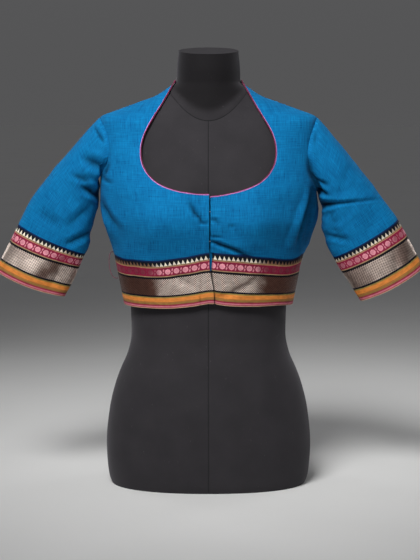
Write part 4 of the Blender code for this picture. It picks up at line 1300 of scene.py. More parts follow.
def tube_points(path, inward, radius, around):
    """Rings of points round a path; each starts on the side that inward points to."""
    ahead = np.gradient(path, axis=0)
    ahead /= np.linalg.norm(ahead, axis=1, keepdims=True)
    side = inward - ahead * (inward * ahead).sum(axis=1, keepdims=True)
    side /= np.linalg.norm(side, axis=1, keepdims=True)
    other = np.cross(ahead, side)
    turn = np.linspace(0, 2 * np.pi, around + 1)[None, :, None]
    rings = path[:, None] + radius * (np.cos(turn) * side[:, None] + np.sin(turn) * other[:, None])
    rings[:, -1] = rings[:, 0]
    return rings, rings - path[:, None]


def close_ends(piece):
    """Closes the open ends of a tube with faces, as by Fill."""
    bpy.context.view_layer.objects.active = piece
    bpy.ops.object.mode_set(mode="EDIT")
    bpy.ops.mesh.select_all(action="DESELECT")
    bpy.ops.mesh.select_non_manifold()
    bpy.ops.mesh.edge_face_add()
    bpy.ops.object.mode_set(mode="OBJECT")


# %% Neck piping
def neck_half(hand_name):
    """The piping's centre line from the front edge to the middle of the back neck."""
    low, inner = ROWS["front_low"], COLUMNS["opening_to_neck"]
    points, facing = front_points[hand_name]
    line = np.concatenate([points[low, :inner], points[low:, inner]])
    normal = np.concatenate([facing[low, :inner], facing[low:, inner]])
    half = (back_points.shape[1] - 1) // 2
    reach = COLUMNS["back_neck"]
    if hand_name == "right":
        pick = slice(half - reach + 1, half + 1)
    else:
        pick = slice(half + reach - 1, half - 1, -1)
    line = np.concatenate([line, back_points[-1, pick]])
    normal = np.concatenate([normal, back_facing[-1, pick]])
    line = line - normal * CLOTH / 2
    inward = np.cross(normal, np.gradient(line, axis=0)) * HAND[hand_name]
    inward /= np.linalg.norm(inward, axis=1, keepdims=True)
    return line + inward * (PIPING_RADIUS - PIPING_BITE), inward


(right_line, right_inward), (left_line, left_inward) = neck_half("right"), neck_half("left")
neck_line = np.concatenate([right_line, left_line[::-1][1:]])
inward = np.concatenate([right_inward, left_inward[::-1][1:]])
neck_path = smooth_path(neck_line, PIPING_STEPS)
far = far_along(neck_line)
inward = read_at(inward, far, np.linspace(0, far[-1], len(neck_path)))
points, facing = tube_points(neck_path, inward, PIPING_RADIUS, PIPING_SIDES)
along = np.linspace(0, length_of(neck_path), len(neck_path))
round_tube = np.linspace(0, 2 * np.pi * PIPING_RADIUS, PIPING_SIDES + 1)
flat = np.stack(np.meshgrid(round_tube, along), axis=-1)
piping = grid_piece("piping_neck", points, flat, facing, ring=True)
close_ends(piping)
bpy.ops.object.shade_smooth_by_angle(angle=math.radians(55))
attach(piping, "root")
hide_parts("neck_piping")
print("Neck piping:", round(length_of(neck_path)), "mm round")

# %% [markdown]
# ## The dress form
#
# The form is a foam body in a tight black cover. Its cover has a seam round the base of the neck,
# one down the front and one down the back. It stands on a flat base. The seams are shallow valleys
# in the surface here, with rows and columns placed close together where they run. Just above the
# neck's seam the cloth swells a little.

# %% Surface of the form
NECK_SEAM = {"front": 618.0, "bow": 0.0113, "climb": 1.07, "from_y": -10.0}
FORM_NECK_TILT = 0.14
HALF_ROUND = 110
FORM_FINE = 399
SEAM_CROWDING = 0.66


def neck_seam_z(x, y):
    """Height of the seam round the neck: a shallow bow in front that climbs towards the back."""
    back = np.maximum(y - NECK_SEAM["from_y"], 0)
    return NECK_SEAM["front"] + NECK_SEAM["bow"] * x * x + NECK_SEAM["climb"] * back


def form_level(z):
    """Points round the form at a level, from the front middle round by the left."""
    share = shares_to_side(0.0, FORM_FINE)
    x = share * FORM.at(z, "half_width")
    front = np.stack([x, FORM.depth(x, np.full_like(x, z), -1)], axis=1)
    back = np.stack([x, FORM.depth(x, np.full_like(x, z), 1)], axis=1)
    path = np.concatenate([front, back[::-1][1:]])
    path[:, 0] = np.maximum(path[:, 0], 0)
    far = far_along(path)
    t = np.linspace(0, 1, HALF_ROUND + 1)
    at = far[-1] * (t - SEAM_CROWDING * np.sin(2 * np.pi * t) / (2 * np.pi))
    half = read_at(path, far, at)
    other = half[::-1][1:] * np.array([-1, 1])
    return np.concatenate([half, other])


# %% The form
SEAM_VALLEY = {"deep": 0.7, "wide": 1.8}
SEAM_PAD = {"high": 1.1, "above": 9.0, "wide": 5.5}
CENTRE_VALLEY = {"deep": 0.5, "wide": 1.6}
levels = np.concatenate([[0.0, 1.2, 3.0, 6.0], np.arange(10, 600, 5.0), np.arange(600, 734.5, 2.0)])
rows = []
for z in levels:
    level = form_level(z)
    lean = np.clip((z - SHOULDER_NECK_Z) / (FORM_RINGS[-1, 0] - SHOULDER_NECK_Z), 0, 1)
    rows.append(np.column_stack([level, z + level[:, 1] * FORM_NECK_TILT * lean]))
form_points = np.array(rows)
middle = np.stack([0 * levels, 0 * levels, levels], axis=1)[:, None]
form_facing = form_points - middle
form_facing[..., 2] = 0
form_facing /= np.linalg.norm(form_facing, axis=-1, keepdims=True)
above_seam = form_points[..., 2] - neck_seam_z(form_points[..., 0], form_points[..., 1])
valley = SEAM_VALLEY["deep"] * np.exp(-((above_seam / SEAM_VALLEY["wide"]) ** 2))
pad = np.exp(-(((above_seam - SEAM_PAD["above"]) / SEAM_PAD["wide"]) ** 2)) * SEAM_PAD["high"]
centre = CENTRE_VALLEY["deep"] * np.exp(-((form_points[..., 0] / CENTRE_VALLEY["wide"]) ** 2))
centre *= above_seam < 0
form_points = form_points + form_facing * (pad - valley - centre)[..., None]
around = np.linspace(0, 1000, form_points.shape[1])
flat = np.stack(np.meshgrid(around, levels), axis=-1)
form = grid_piece("form_body", form_points, flat, form_facing, ring=True)
close_ends(form)
bpy.ops.object.shade_smooth_by_angle(angle=math.radians(40))
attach(form, "root")
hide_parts("dress_form")
print("Form:", len(form.data.polygons), "faces")

# %% [markdown]
# ## Building a finish from nodes
#
# Every finish here is made of nodes that read a piece's UV map, in millimetres. The small bench
# below keeps the recipes short: it places a node, joins a value or another node to it, and gives
# back its output.


# %% A bench for node recipes
class Bench:
    """A node tree with short ways to place the nodes that a recipe needs."""

    def __init__(self, tree):
        self.tree = tree

    def join(self, source, socket):
        if isinstance(source, bpy.types.NodeSocket):
            self.tree.links.new(source, socket)
        else:
            socket.default_value = source

    def node(self, kind, inputs=(), **settings):
        made = self.tree.nodes.new(kind)
        for key, value in settings.items():
            setattr(made, key, value)
        for key, value in dict(inputs).items():
            self.join(value, made.inputs[key])
        return made

    def math(self, operation, *values, clamp=False):
        made = self.tree.nodes.new("ShaderNodeMath")
        made.operation = operation
        made.use_clamp = clamp
        for value, socket in zip(values, made.inputs):
            self.join(value, socket)
        return made.outputs[0]

    def plus(self, first, second, clamp=False):
        return self.math("ADD", first, second, clamp=clamp)

    def minus(self, first, second, clamp=False):
        return self.math("SUBTRACT", first, second, clamp=clamp)

    def times(self, first, second, clamp=False):
        return self.math("MULTIPLY", first, second, clamp=clamp)

    def over(self, first, second):
        return self.math("DIVIDE", first, second)

    def invert(self, share):
        """What a share leaves of 1."""
        return self.minus(1.0, share)

    def axes(self, place):
        """The parts of a place, under X, Y and Z."""
        return self.node("ShaderNodeSeparateXYZ", {"Vector": place}).outputs

    def own_place(self):
        """The place on the object itself, in metres."""
        return self.node("ShaderNodeTexCoord").outputs["Object"]

    def mix(self, share, first, second, way="MIX"):
        made = self.node("ShaderNodeMix", {0: share, 6: first, 7: second}, data_type="RGBA",
                         blend_type=way)
        return made.outputs[2]

    def tint(self, colour, shade):
        """A colour multiplied by one value."""
        grey = self.node("ShaderNodeCombineXYZ", {"X": shade, "Y": shade, "Z": shade}).outputs[0]
        return self.mix(1.0, colour, grey, "MULTIPLY")

    def shaded_by_folds(self, colour):
        """The colour darkened at the bottom of the folds."""
        fold = self.node("ShaderNodeAttribute", attribute_name="fold_shade").outputs["Fac"]
        return self.tint(colour, self.invert(fold))

    def rise(self, value, low, high):
        """0 below low, 1 above high, and a soft step between."""
        made = self.node("ShaderNodeMapRange", {"Value": value, "From Min": low, "From Max": high},
                         interpolation_type="SMOOTHSTEP")
        return made.outputs[0]

    def inside(self, value, low, high, soft):
        """1 between low and high, with soft edges."""
        up = self.rise(value, low - soft, low + soft)
        down = self.rise(value, high - soft, high + soft)
        return self.minus(up, down, clamp=True)

    def noise(self, place, scale, detail=2.0, roughness=0.5):
        made = self.node("ShaderNodeTexNoise", {"Vector": place, "Scale": scale, "Detail": detail,
                                                "Roughness": roughness})
        return made.outputs["Fac"]

    def stretch(self, place, x, y, z=1.0):
        return self.node("ShaderNodeMapping", {"Vector": place, "Scale": (x, y, z)}).outputs[0]

    def uv_millimetres(self):
        uv = self.node("ShaderNodeUVMap", uv_map="UVMap").outputs[0]
        return self.node("ShaderNodeVectorMath", {0: uv, 1: (1000.0, 1000.0, 1000.0)},
                         operation="MULTIPLY").outputs[0]


# %% New groups and new materials
def new_group(name, inputs, outputs):
    """An empty node group with its sockets, and the bench to fill it."""
    tree = bpy.data.node_groups.new(name, "ShaderNodeTree")
    for label, kind, value in inputs:
        socket = tree.interface.new_socket(name=label, in_out="INPUT", socket_type=kind)
        if value is not None:
            socket.default_value = value
    for label, kind in outputs:
        tree.interface.new_socket(name=label, in_out="OUTPUT", socket_type=kind)
    given = tree.nodes.new("NodeGroupInput")
    result = tree.nodes.new("NodeGroupOutput")
    return tree, Bench(tree), given.outputs, result.inputs


def new_material(name, roughness, specular=0.3, sheen=0.0):
    """A Principled material with its fixed values on the shader's own sockets."""
    material = bpy.data.materials.new(name)
    material.use_nodes = True
    shader = material.node_tree.nodes["Principled BSDF"]
    shader.inputs["Roughness"].default_value = roughness
    shader.inputs["Specular IOR Level"].default_value = specular
    shader.inputs["Sheen Weight"].default_value = sheen
    shader.inputs["Sheen Roughness"].default_value = 0.45
    return material, Bench(material.node_tree), shader


def bump_from(bench, height, shader):
    """Turns a height in millimetres into the shader's normal."""
    made = bench.node("ShaderNodeBump", {"Height": height, "Distance": 0.001, "Strength": 0.8})
    bench.join(made.outputs[0], shader.inputs["Normal"])


def tell(material):
    print(f"Material {material.name}: {len(material.node_tree.nodes)} nodes")


def give(piece, material):
    piece.data.materials.clear()
    piece.data.materials.append(material)


# %% [markdown]
# ## The weave
#
# Handloom cotton is a plain weave of uneven yarn. Thick places in the yarn, called slubs, run as
# short streaks along the warp and along the weft, a little lighter or darker than the rest. The
# group below gives both: threads as fine ridges, and slubs as stretched noise. Other cloths use it
# with their own thread size.

# %% Weave group
SLUBS = [
    # stretch across, stretch along, detail, roughness, share of the streaks
    (0.85, 0.035, 3.0, 0.6, 0.42),
    (0.03, 0.75, 3.0, 0.6, 0.33),
    (1.9, 0.11, 2.0, 0.5, 0.25),
]
STREAK_CONTRAST = 4.2
THREAD_HIGH = 0.06
SLUB_HIGH = 0.25
weave, bench, given, result = new_group(
    "plain_weave",
    [("Place", "NodeSocketVector", None), ("Thread", "NodeSocketFloat", 0.5),
     ("Slubs", "NodeSocketFloat", 1.0)],
    [("Streaks", "NodeSocketFloat"), ("Height", "NodeSocketFloat")],
)
split = bench.axes(given["Place"])
turns = bench.over(math.pi, given["Thread"])
wander = bench.times(bench.noise(given["Place"], 0.12, 3.0), 1.6)
waves = [bench.math("SINE", bench.times(bench.plus(split[axis], wander), turns)) for axis in "XY"]
warp, weft = (bench.math("ABSOLUTE", wave) for wave in waves)
on_top = bench.rise(bench.times(*waves), -0.25, 0.25)
threads = bench.plus(bench.times(warp, on_top), bench.times(weft, bench.invert(on_top)))
streaks = 0.0
for across, along, detail, roughness, share in SLUBS:
    slub = bench.noise(bench.stretch(given["Place"], across, along), 1.0, detail, roughness)
    streaks = bench.plus(streaks, bench.times(slub, share))
streaks = bench.times(bench.minus(streaks, 0.5), given["Slubs"])
bench.join(bench.plus(bench.times(streaks, STREAK_CONTRAST), 0.5, clamp=True), result["Streaks"])
height = bench.plus(bench.times(threads, THREAD_HIGH), bench.times(streaks, SLUB_HIGH))
bench.join(height, result["Height"])
print("Weave group:", len(weave.nodes), "nodes")


def woven(bench, place, thread, slubs=1.0):
    """The weave at a place, with its own thread size; gives back its outputs."""
    sizes = {"Place": place, "Thread": thread, "Slubs": slubs}
    return bench.node("ShaderNodeGroup", sizes, node_tree=weave).outputs


# %% Blue handloom cotton
BLUE_DEEP = (0.0010, 0.077, 0.220, 1.0)
BLUE_CLEAR = (0.0036, 0.208, 0.475, 1.0)
BLUE_SHEEN = (0.15, 0.5, 1.0, 1.0)
blue_cotton, bench, shader = new_material("blue_handloom_cotton", 0.9, 0.10, 0.06)
shader.inputs["Sheen Tint"].default_value = BLUE_SHEEN
place = bench.uv_millimetres()
cloth = woven(bench, place, 0.55)
cloud = bench.times(bench.minus(bench.noise(place, 0.02, 3.0), 0.5), 0.5)
tone = bench.plus(cloth["Streaks"], cloud, clamp=True)
blue = bench.mix(tone, BLUE_DEEP, BLUE_CLEAR)
bench.join(bench.shaded_by_folds(blue), shader.inputs["Base Color"])
bump_from(bench, cloth["Height"], shader)
tell(blue_cotton)

# %% [markdown]
# ## The woven border
#
# The border is woven on its own warp: stripes of coloured yarn, a row of small cream temple
# points, a crimson stripe with round flowers, and a broad panel of metal thread, zari, which is
# tied down at small points in a diamond order. All of it is a function of two lengths, the
# distance along the strip and the height above the hem, so the whole border is drawn by
# arithmetic. Plain stripes are stops of one colour ramp. Whatever repeats is measured from the
# middle of its nearest repeat.

# %% Stripes of the border, from the hem up
STRIPES = [
    # from this height in millimetres, red, green, blue
    (0.0, (0.44, 0.27, 0.18)),
    (1.3, (0.28, 0.026, 0.050)),
    (2.2, (0.52, 0.150, 0.195)),
    (4.6, (0.26, 0.022, 0.045)),
    (7.0, (0.24, 0.140, 0.040)),
    (9.0, (0.34, 0.150, 0.038)),
    (11.4, (0.66, 0.222, 0.044)),
    (18.2, (0.27, 0.195, 0.055)),
    (20.2, (0.005, 0.005, 0.010)),
    (23.3, (0.040, 0.020, 0.015)),
    (51.8, (0.005, 0.005, 0.008)),
    (55.2, (0.34, 0.225, 0.120)),
    (56.8, (0.255, 0.012, 0.046)),
    (71.6, (0.48, 0.230, 0.150)),
    (72.8, (0.30, 0.185, 0.070)),
    (74.3, (0.004, 0.005, 0.010)),
    # the two navy stops at the top darken into the blue cloth: painted shade under its edge
    (82.0, (0.003, 0.009, 0.035)),
    (83.6, (0.002, 0.025, 0.100)),
]


def stripe_ramp(bench, height):
    """The plain stripes as one colour ramp over the border's width."""
    made = bench.node("ShaderNodeValToRGB")
    ramp = made.color_ramp
    ramp.interpolation = "CONSTANT"
    for index, (start, colour) in enumerate(STRIPES):
        place = start / BORDER_WIDTH
        stop = ramp.elements[index] if index < 2 else ramp.elements.new(place)
        stop.position = place
        stop.color = (*colour, 1.0)
    bench.join(bench.over(height, BORDER_WIDTH), made.inputs["Fac"])
    return made.outputs["Color"]


print("Stripes:", len(STRIPES))

# %% The border's group and its repeats
JITTER = 0.55
REPEATS_AWAY = 100.0


def from_repeat(bench, along, pitch, shift=0.0):
    """Distance from the middle of the nearest repeat, with a sign."""
    repeats = bench.plus(bench.over(along, pitch), REPEATS_AWAY + shift)
    return bench.times(bench.minus(bench.math("FRACT", repeats), 0.5), pitch)


border, bench, given, result = new_group(
    "border_pattern",
    [("Place", "NodeSocketVector", None)],
    [("Color", "NodeSocketColor"), ("Metal", "NodeSocketFloat"), ("Silk", "NodeSocketFloat"),
     ("Cream", "NodeSocketFloat"), ("Shade", "NodeSocketFloat"), ("Height", "NodeSocketFloat")],
)
split = bench.axes(given["Place"])
jitter = bench.noise(bench.stretch(given["Place"], 0.35, 0.9), 1.0, 2.0)
along = split["X"]
up = bench.plus(split["Y"], bench.times(bench.minus(jitter, 0.5), JITTER))
colour = stripe_ramp(bench, up)
print("Border group starts with", len(border.nodes), "nodes")

# %% Temple points, stepped triangles on the dark stripe
TEMPLE = {"pitch": 7.1, "low": 74.4, "high": 81.2, "half": 3.0, "lean": 0.10, "step": 0.6,
          "power": 1.25}
climb = bench.over(bench.minus(up, TEMPLE["low"]), TEMPLE["step"])
step = bench.times(bench.math("FLOOR", climb), TEMPLE["step"])
leant = bench.plus(along, bench.times(step, TEMPLE["lean"]))
beside = bench.math("ABSOLUTE", from_repeat(bench, leant, TEMPLE["pitch"]))
left = bench.minus(1.0, bench.over(step, TEMPLE["high"] - TEMPLE["low"]), clamp=True)
slant = bench.times(bench.math("POWER", left, TEMPLE["power"]), TEMPLE["half"])
temple = bench.invert(bench.rise(bench.minus(beside, slant), -0.25, 0.25))
temple = bench.times(temple, bench.inside(up, TEMPLE["low"], TEMPLE["high"], 0.15))
print("Temple points:", TEMPLE["pitch"], "mm apart")

# %% Round flowers, each a disc with a scalloped edge, a fine ring and a dark dot in it
FLOWER = {"pitch": 14.5, "centre": 64.2, "radius": 4.9, "scallops": 8.0, "scallop": 0.22}
here = from_repeat(bench, along, FLOWER["pitch"])
there = bench.minus(up, FLOWER["centre"])
radius = bench.math("SQRT", bench.plus(bench.times(here, here), bench.times(there, there)))
angle = bench.times(bench.math("ARCTAN2", there, here), FLOWER["scallops"])
scallop = bench.times(bench.math("COSINE", angle), FLOWER["scallop"])
disc = bench.invert(bench.rise(bench.minus(radius, scallop), FLOWER["radius"] - 0.6,
                               FLOWER["radius"]))
ring = bench.inside(radius, 1.9, 2.6, 0.3)
dot = bench.invert(bench.rise(radius, 0.4, 1.0))
drawn = bench.math("MAXIMUM", bench.times(ring, 0.32), bench.times(dot, 0.45))
flower = bench.times(disc, bench.invert(drawn))
print("Flowers:", FLOWER["pitch"], "mm apart,", 2 * FLOWER["radius"], "mm wide")

# %% Two small petals between the flowers, one above the other
PETAL = {"from_centre": 2.8, "half_wide": 1.35, "half_tall": 2.5, "lean": 0.16}
between = from_repeat(bench, along, FLOWER["pitch"], 0.5)
between = bench.minus(between, bench.times(there, PETAL["lean"]))
wide = bench.over(between, PETAL["half_wide"])
away = bench.minus(bench.math("ABSOLUTE", there), PETAL["from_centre"])
tall = bench.over(away, PETAL["half_tall"])
oval = bench.plus(bench.times(wide, wide), bench.times(tall, tall))
pair = bench.times(bench.invert(bench.rise(oval, 0.6, 1.15)), 0.8)
print("Petals:", 2 * PETAL["half_wide"], "mm wide and", 2 * PETAL["half_tall"], "mm tall")

# %% Metal panel, floats of flat thread tied down at small dark points in a diamond order
ZARI = {"low": 23.3, "high": 51.8, "across": 3.8, "up": 3.3, "tied": 0.92}
tied_across = bench.math("COSINE", bench.times(along, 2 * math.pi / ZARI["across"]))
tied_up = bench.math("COSINE", bench.times(split["Y"], 2 * math.pi / ZARI["up"]))
tied = bench.rise(bench.times(tied_across, tied_up), -0.25, 0.35)
wear_and_painted_shade = bench.noise(bench.stretch(given["Place"], 0.5, 0.9), 1.0, 3.0)
floats = bench.invert(bench.times(tied, ZARI["tied"]))
floats = bench.times(floats, bench.plus(0.50, wear_and_painted_shade), clamp=True)
zari = bench.times(floats, bench.inside(up, ZARI["low"], ZARI["high"], 0.12))
print("Metal panel:", ZARI["low"], "to", ZARI["high"], "mm above the hem")

# %% Silk of flowers and petals, uneven dyeing of the ground, and what stands out
silk = bench.math("MAXIMUM", flower, pair)
yarn = bench.noise(bench.stretch(given["Place"], 0.12, 2.2), 1.0, 2.0)
patch = bench.noise(bench.stretch(given["Place"], 0.10, 0.22), 1.0, 2.0)
shade = bench.plus(0.30, bench.plus(bench.times(yarn, 0.7), bench.times(patch, 0.7)))
raised = bench.times(bench.math("MAXIMUM", zari, temple), 0.10)
raised = bench.plus(raised, bench.times(silk, 0.08))
for label, value in (("Color", bench.tint(colour, shade)), ("Metal", zari), ("Silk", silk),
                     ("Cream", temple), ("Shade", shade), ("Height", raised)):
    bench.join(value, result[label])
print("Border group:", len(border.nodes), "nodes")

# %% [markdown]
# ## The border's gloss
#
# Metal thread shines because it is metal, so we make the shader metallic where the metal lies and
# let the lights decide how bright it looks. Flat threads side by side reflect more across than
# along, which is what Anisotropic does. Stretches of the real border look dull and brown where it
# turns from the light. Those stretches are painted dull here, as painted shade and painted dark
# reflection, over a little random wear: each stretch is fixed to the cloth, by its place along
# the strip.

# %% Woven border material
YARN_LIT_AND_SHADED = {
    # colour where lit and its painted shade, in the order in which they lie over the stripes
    "Silk": ((0.85, 0.36, 0.43, 1.0), (0.24, 0.040, 0.065, 1.0)),
    "Cream": ((0.88, 0.82, 0.68, 1.0), (0.20, 0.105, 0.065, 1.0)),
    "Metal": ((0.96, 0.80, 0.70, 1.0), (0.150, 0.066, 0.048, 1.0)),
}
UNEVEN_WEAR = 0.22
STRETCH_WANDER = 28.0
PANEL_MIDDLE = 37.0


def border_material(name, painted_dull_stretches):
    """The woven strip; painted_dull_stretches lists stretches of its length with painted shade on
    metal and silk.
    """
    material, bench, shader = new_material(name, 0.6, 0.15)
    shader.inputs["Anisotropic"].default_value = 0.85
    shader.inputs["Anisotropic Rotation"].default_value = 0.25
    weft_way = bench.node("ShaderNodeTangent", direction_type="UV_MAP", uv_map="UVMap").outputs[0]
    bench.join(weft_way, shader.inputs["Tangent"])
    place = bench.uv_millimetres()
    pattern = bench.node("ShaderNodeGroup", {"Place": place}, node_tree=border).outputs
    cloth = woven(bench, place, 0.42, 0.4)
    split = bench.axes(place)
    wander = bench.noise(bench.stretch(place, 0.04, 0.06), 1.0, 2.0)
    length = bench.plus(split["X"], bench.times(bench.minus(wander, 0.5), STRETCH_WANDER))
    # random wear, to which the stretches below add painted shade
    wear_and_painted_shade = bench.times(bench.rise(wander, 0.45, 0.70), UNEVEN_WEAR)
    for low, high, soft, amount, lean in painted_dull_stretches:
        aside = bench.times(bench.minus(split["Y"], PANEL_MIDDLE), lean)
        dull = bench.inside(bench.minus(length, aside), low, high, soft)
        wear_and_painted_shade = bench.math("MAXIMUM", wear_and_painted_shade, bench.times(dull, amount))
    colour = pattern["Color"]
    # each thread runs from its lit colour to its painted shade
    for yarn, (bright, dull) in YARN_LIT_AND_SHADED.items():
        thread = bench.tint(bench.mix(wear_and_painted_shade, bright, dull), pattern["Shade"])
        colour = bench.mix(pattern[yarn], colour, thread)
    bench.join(bench.shaded_by_folds(colour), shader.inputs["Base Color"])
    shining = bench.math("MAXIMUM", pattern["Metal"], bench.times(pattern["Silk"], 0.35))
    bench.join(bench.times(shining, 0.9), shader.inputs["Metallic"])
    bench.join(bench.minus(0.85, bench.times(shining, 0.55)), shader.inputs["Roughness"])
    bump_from(bench, bench.plus(pattern["Height"], cloth["Height"]), shader)
    tell(material)
    return material


# stretches painted dull, as painted shade and painted dark reflection where the border turns from
# the light
PAINTED_DULL_STRETCHES = {
    # from and to along the strip in millimetres, softness, amount, lean of the stretch
    "hem": [(-400.0, -85.0, 13.0, 1.0, 0.0), (86.0, 400.0, 13.0, 1.0, 0.0),
            (53.0, 63.0, 7.0, 0.7, 1.35)],
    "cuff_right": [(84.0, 110.0, 12.0, 0.85, 0.55), (170.0, 290.0, 22.0, 0.8, 0.0)],
    "cuff_left": [(-20.0, 340.0, 5.0, 0.22, 0.0), (20.0, 56.0, 13.0, 0.72, -0.35),
                  (98.0, 150.0, 14.0, 0.55, 0.0), (180.0, 310.0, 22.0, 0.8, 0.0)],
}
borders = {name: border_material("woven_border_" + name, PAINTED_DULL_STRETCHES[name]) for name in PAINTED_DULL_STRETCHES}

# %% [markdown]
# ## Piping, thread and the form's cover
#
# The piping is the same kind of cotton in pink, cut on the bias, so its threads run slantwise
# round it. Its side towards the neck is painted dark maroon, a painted shade where it turns in.
# The hanger loop is a dull twisted thread, and the hooks are bright wire. The form's cover is a
# smooth black jersey with tiny ribs and a little lint. Its seams show as dark lines, and above the
# neck's seam the cover is painted darker, a painted shade.

# %% Pink piping
DEEP_PINK = (0.58, 0.17, 0.50, 1.0)
PALE_PINK = (0.90, 0.38, 0.86, 1.0)
MAROON_PAINTED_SHADE = (0.13, 0.004, 0.038, 1.0)
pink_piping, bench, shader = new_material("pink_bias_cotton", 0.7, 0.3, 0.2)
place = bench.uv_millimetres()
bias = {"Vector": place, "Rotation": (0.0, 0.0, math.pi / 4)}
cloth = woven(bench, bench.node("ShaderNodeMapping", bias).outputs[0], 0.4)
round_tube = bench.over(bench.axes(place)["X"], PIPING_RADIUS)
# the side towards the neck turns maroon: painted shade of the strip turning in
inner = bench.rise(bench.math("COSINE", round_tube), -0.35, 0.02)
pink = bench.mix(cloth["Streaks"], DEEP_PINK, PALE_PINK)
bench.join(bench.mix(inner, pink, MAROON_PAINTED_SHADE), shader.inputs["Base Color"])
bump_from(bench, cloth["Height"], shader)
tell(pink_piping)

# %% Loop thread
THREAD_DARK = (0.10, 0.025, 0.045, 1.0)
THREAD_LIGHT = (0.24, 0.075, 0.105, 1.0)
loop_thread, bench, shader = new_material("dull_pink_thread", 0.75, 0.3, 0.1)
twist = {"Vector": bench.own_place(), "Scale": 900.0, "Distortion": 1.5}
ply = bench.node("ShaderNodeTexWave", twist, bands_direction="DIAGONAL").outputs["Fac"]
bench.join(bench.mix(ply, THREAD_DARK, THREAD_LIGHT), shader.inputs["Base Color"])
bump_from(bench, bench.times(ply, 0.12), shader)
tell(loop_thread)

# %% Hook wire
WIRE_DARK = (0.55, 0.52, 0.47, 1.0)
WIRE_LIGHT = (0.80, 0.78, 0.74, 1.0)
hook_wire, bench, shader = new_material("bright_hook_wire", 0.28, 0.5)
shader.inputs["Metallic"].default_value = 1.0
grain = bench.noise(bench.own_place(), 800.0, 2.0)
bench.join(bench.mix(grain, WIRE_DARK, WIRE_LIGHT), shader.inputs["Base Color"])
tell(hook_wire)

# %% Cover of the form
COVER = {
    "dark": (0.016, 0.015, 0.017, 1.0),
    "light": (0.036, 0.033, 0.037, 1.0),
    # darker cover above the neck's seam: painted shade
    "neck": (0.0045, 0.0038, 0.0045, 1.0),
    "lint": (0.12, 0.115, 0.12, 1.0),
    "seam": (0.008, 0.008, 0.009, 1.0),
    "sheen": (0.55, 0.53, 0.58, 1.0),
}
form_cover, bench, shader = new_material("black_jersey_cover", 0.85, 0.18, 0.15)
shader.inputs["Sheen Tint"].default_value = COVER["sheen"]
place = bench.own_place()
parts = bench.axes(place)
x, y, z = (bench.times(parts[axis], 1000.0) for axis in "XYZ")
back = bench.math("MAXIMUM", bench.minus(y, NECK_SEAM["from_y"]), 0.0)
seam = bench.plus(NECK_SEAM["front"], bench.times(back, NECK_SEAM["climb"]))
seam = bench.plus(seam, bench.times(bench.times(x, x), NECK_SEAM["bow"]))
above = bench.minus(z, seam)
below = bench.invert(bench.rise(above, -0.5, 0.5))
middle_line = bench.times(bench.inside(x, -0.5, 0.5, 0.4), below)
lines = bench.math("MAXIMUM", bench.inside(above, -0.7, 0.7, 0.5), middle_line)
knit = bench.noise(bench.stretch(place, 1600.0, 1600.0, 700.0), 1.0, 2.0)
dust = bench.noise(place, 26.0, 4.0)
lint = bench.rise(bench.noise(bench.stretch(place, 420.0, 420.0, 130.0), 1.0, 2.0), 0.70, 0.80)
mottle = bench.plus(bench.times(dust, 0.7), bench.times(knit, 0.3))
# the neck above its seam is darkened: painted shade
neck_painted_shade = bench.rise(above, 4.0, 26.0)
colour = bench.mix(mottle, COVER["dark"], COVER["light"])
colour = bench.mix(bench.times(neck_painted_shade, 0.85), colour, COVER["neck"])
colour = bench.mix(bench.times(lint, 0.35), colour, COVER["lint"])
colour = bench.mix(lines, colour, COVER["seam"])
bench.join(colour, shader.inputs["Base Color"])
bump_from(bench, bench.minus(bench.times(knit, 0.10), bench.times(lines, 0.35)), shader)
tell(form_cover)

# %% Give every piece its finish
for piece in bpy.data.objects:
    if piece.name.startswith("cloth_"):
        give(piece, blue_cotton)
    elif piece.name.startswith("border_sleeve"):
        give(piece, borders[piece.name.replace("border_sleeve", "cuff")])
    elif piece.name.startswith("border_"):
        give(piece, borders["hem"])
    elif piece.name.startswith("hook_"):
        give(piece, hook_wire)
give(piping, pink_piping)
give(loop, loop_thread)
give(form, form_cover)
print("Finishes:", len(bpy.data.materials))

# %% [markdown]
# ## The studio
#
# A plain pale floor, a key light in front, above and to the left with a narrow spread, a long soft
# strip of light in front, and two weak soft ones behind, so that the edges stand out a little.

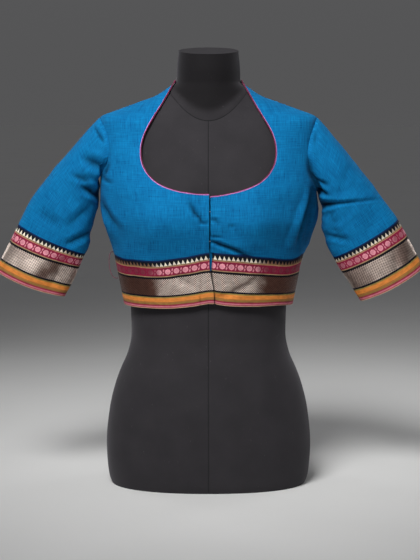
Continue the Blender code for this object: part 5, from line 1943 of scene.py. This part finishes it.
# %% Floor
bpy.ops.object.select_all(action="DESELECT")
bpy.ops.mesh.primitive_plane_add(size=80.0, location=(0.0, 0.0, 0.0))
floor = bpy.context.active_object
floor.name = "floor"
FLOOR_DARK = (0.66, 0.66, 0.65, 1.0)
FLOOR_LIGHT = (0.72, 0.72, 0.71, 1.0)
pale_floor, bench, shader = new_material("pale_floor", 0.75, 0.2)
clouds = bench.noise(bench.own_place(), 3.0, 3.0)
bench.join(bench.mix(clouds, FLOOR_DARK, FLOOR_LIGHT), shader.inputs["Base Color"])
give(floor, pale_floor)
tell(pale_floor)

# %% Lights
AIM = Vector((0.0, -0.05, 0.55))
LIGHTS = [
    # name, place, width, height, watts, spread in degrees
    ("key", (-0.50, -1.50, 2.25), 0.9, 0.9, 6.0, 47),
    ("front_strip", (-0.2, -2.25, 0.9), 2.4, 0.5, 3.6, 120),
    ("rim_right", (-1.5, 1.1, 0.9), 0.6, 0.6, 2.4, 120),
    ("rim_left", (1.5, 1.1, 0.9), 0.6, 0.6, 2.4, 120),
]
for name, place, width, height, watts, spread in LIGHTS:
    data = bpy.data.lights.new(name, "AREA")
    data.shape = "RECTANGLE"
    data.size = width
    data.size_y = height
    data.energy = watts
    data.spread = math.radians(spread)
    light = bpy.data.objects.new(name, data)
    light.location = place
    light.rotation_euler = (AIM - Vector(place)).to_track_quat("-Z", "Y").to_euler()
    bpy.context.scene.collection.objects.link(light)
print("Lights:", len(LIGHTS))

# %% Sky
SKY_LOW = (0.090, 0.090, 0.092, 1.0)
SKY_HIGH = (0.13, 0.13, 0.134, 1.0)
world = bpy.data.worlds.new("pale_studio")
bpy.context.scene.world = world
world.use_nodes = True
sky = Bench(world.node_tree)
way = sky.node("ShaderNodeTexCoord").outputs["Generated"]
height = sky.axes(way)["Z"]
background = world.node_tree.nodes["Background"]
sky.join(sky.mix(sky.rise(height, 0.0, 0.4), SKY_LOW, SKY_HIGH), background.inputs["Color"])
background.inputs["Strength"].default_value = 1.0
bpy.context.scene.view_settings.view_transform = "Standard"
print("World:", world.name)
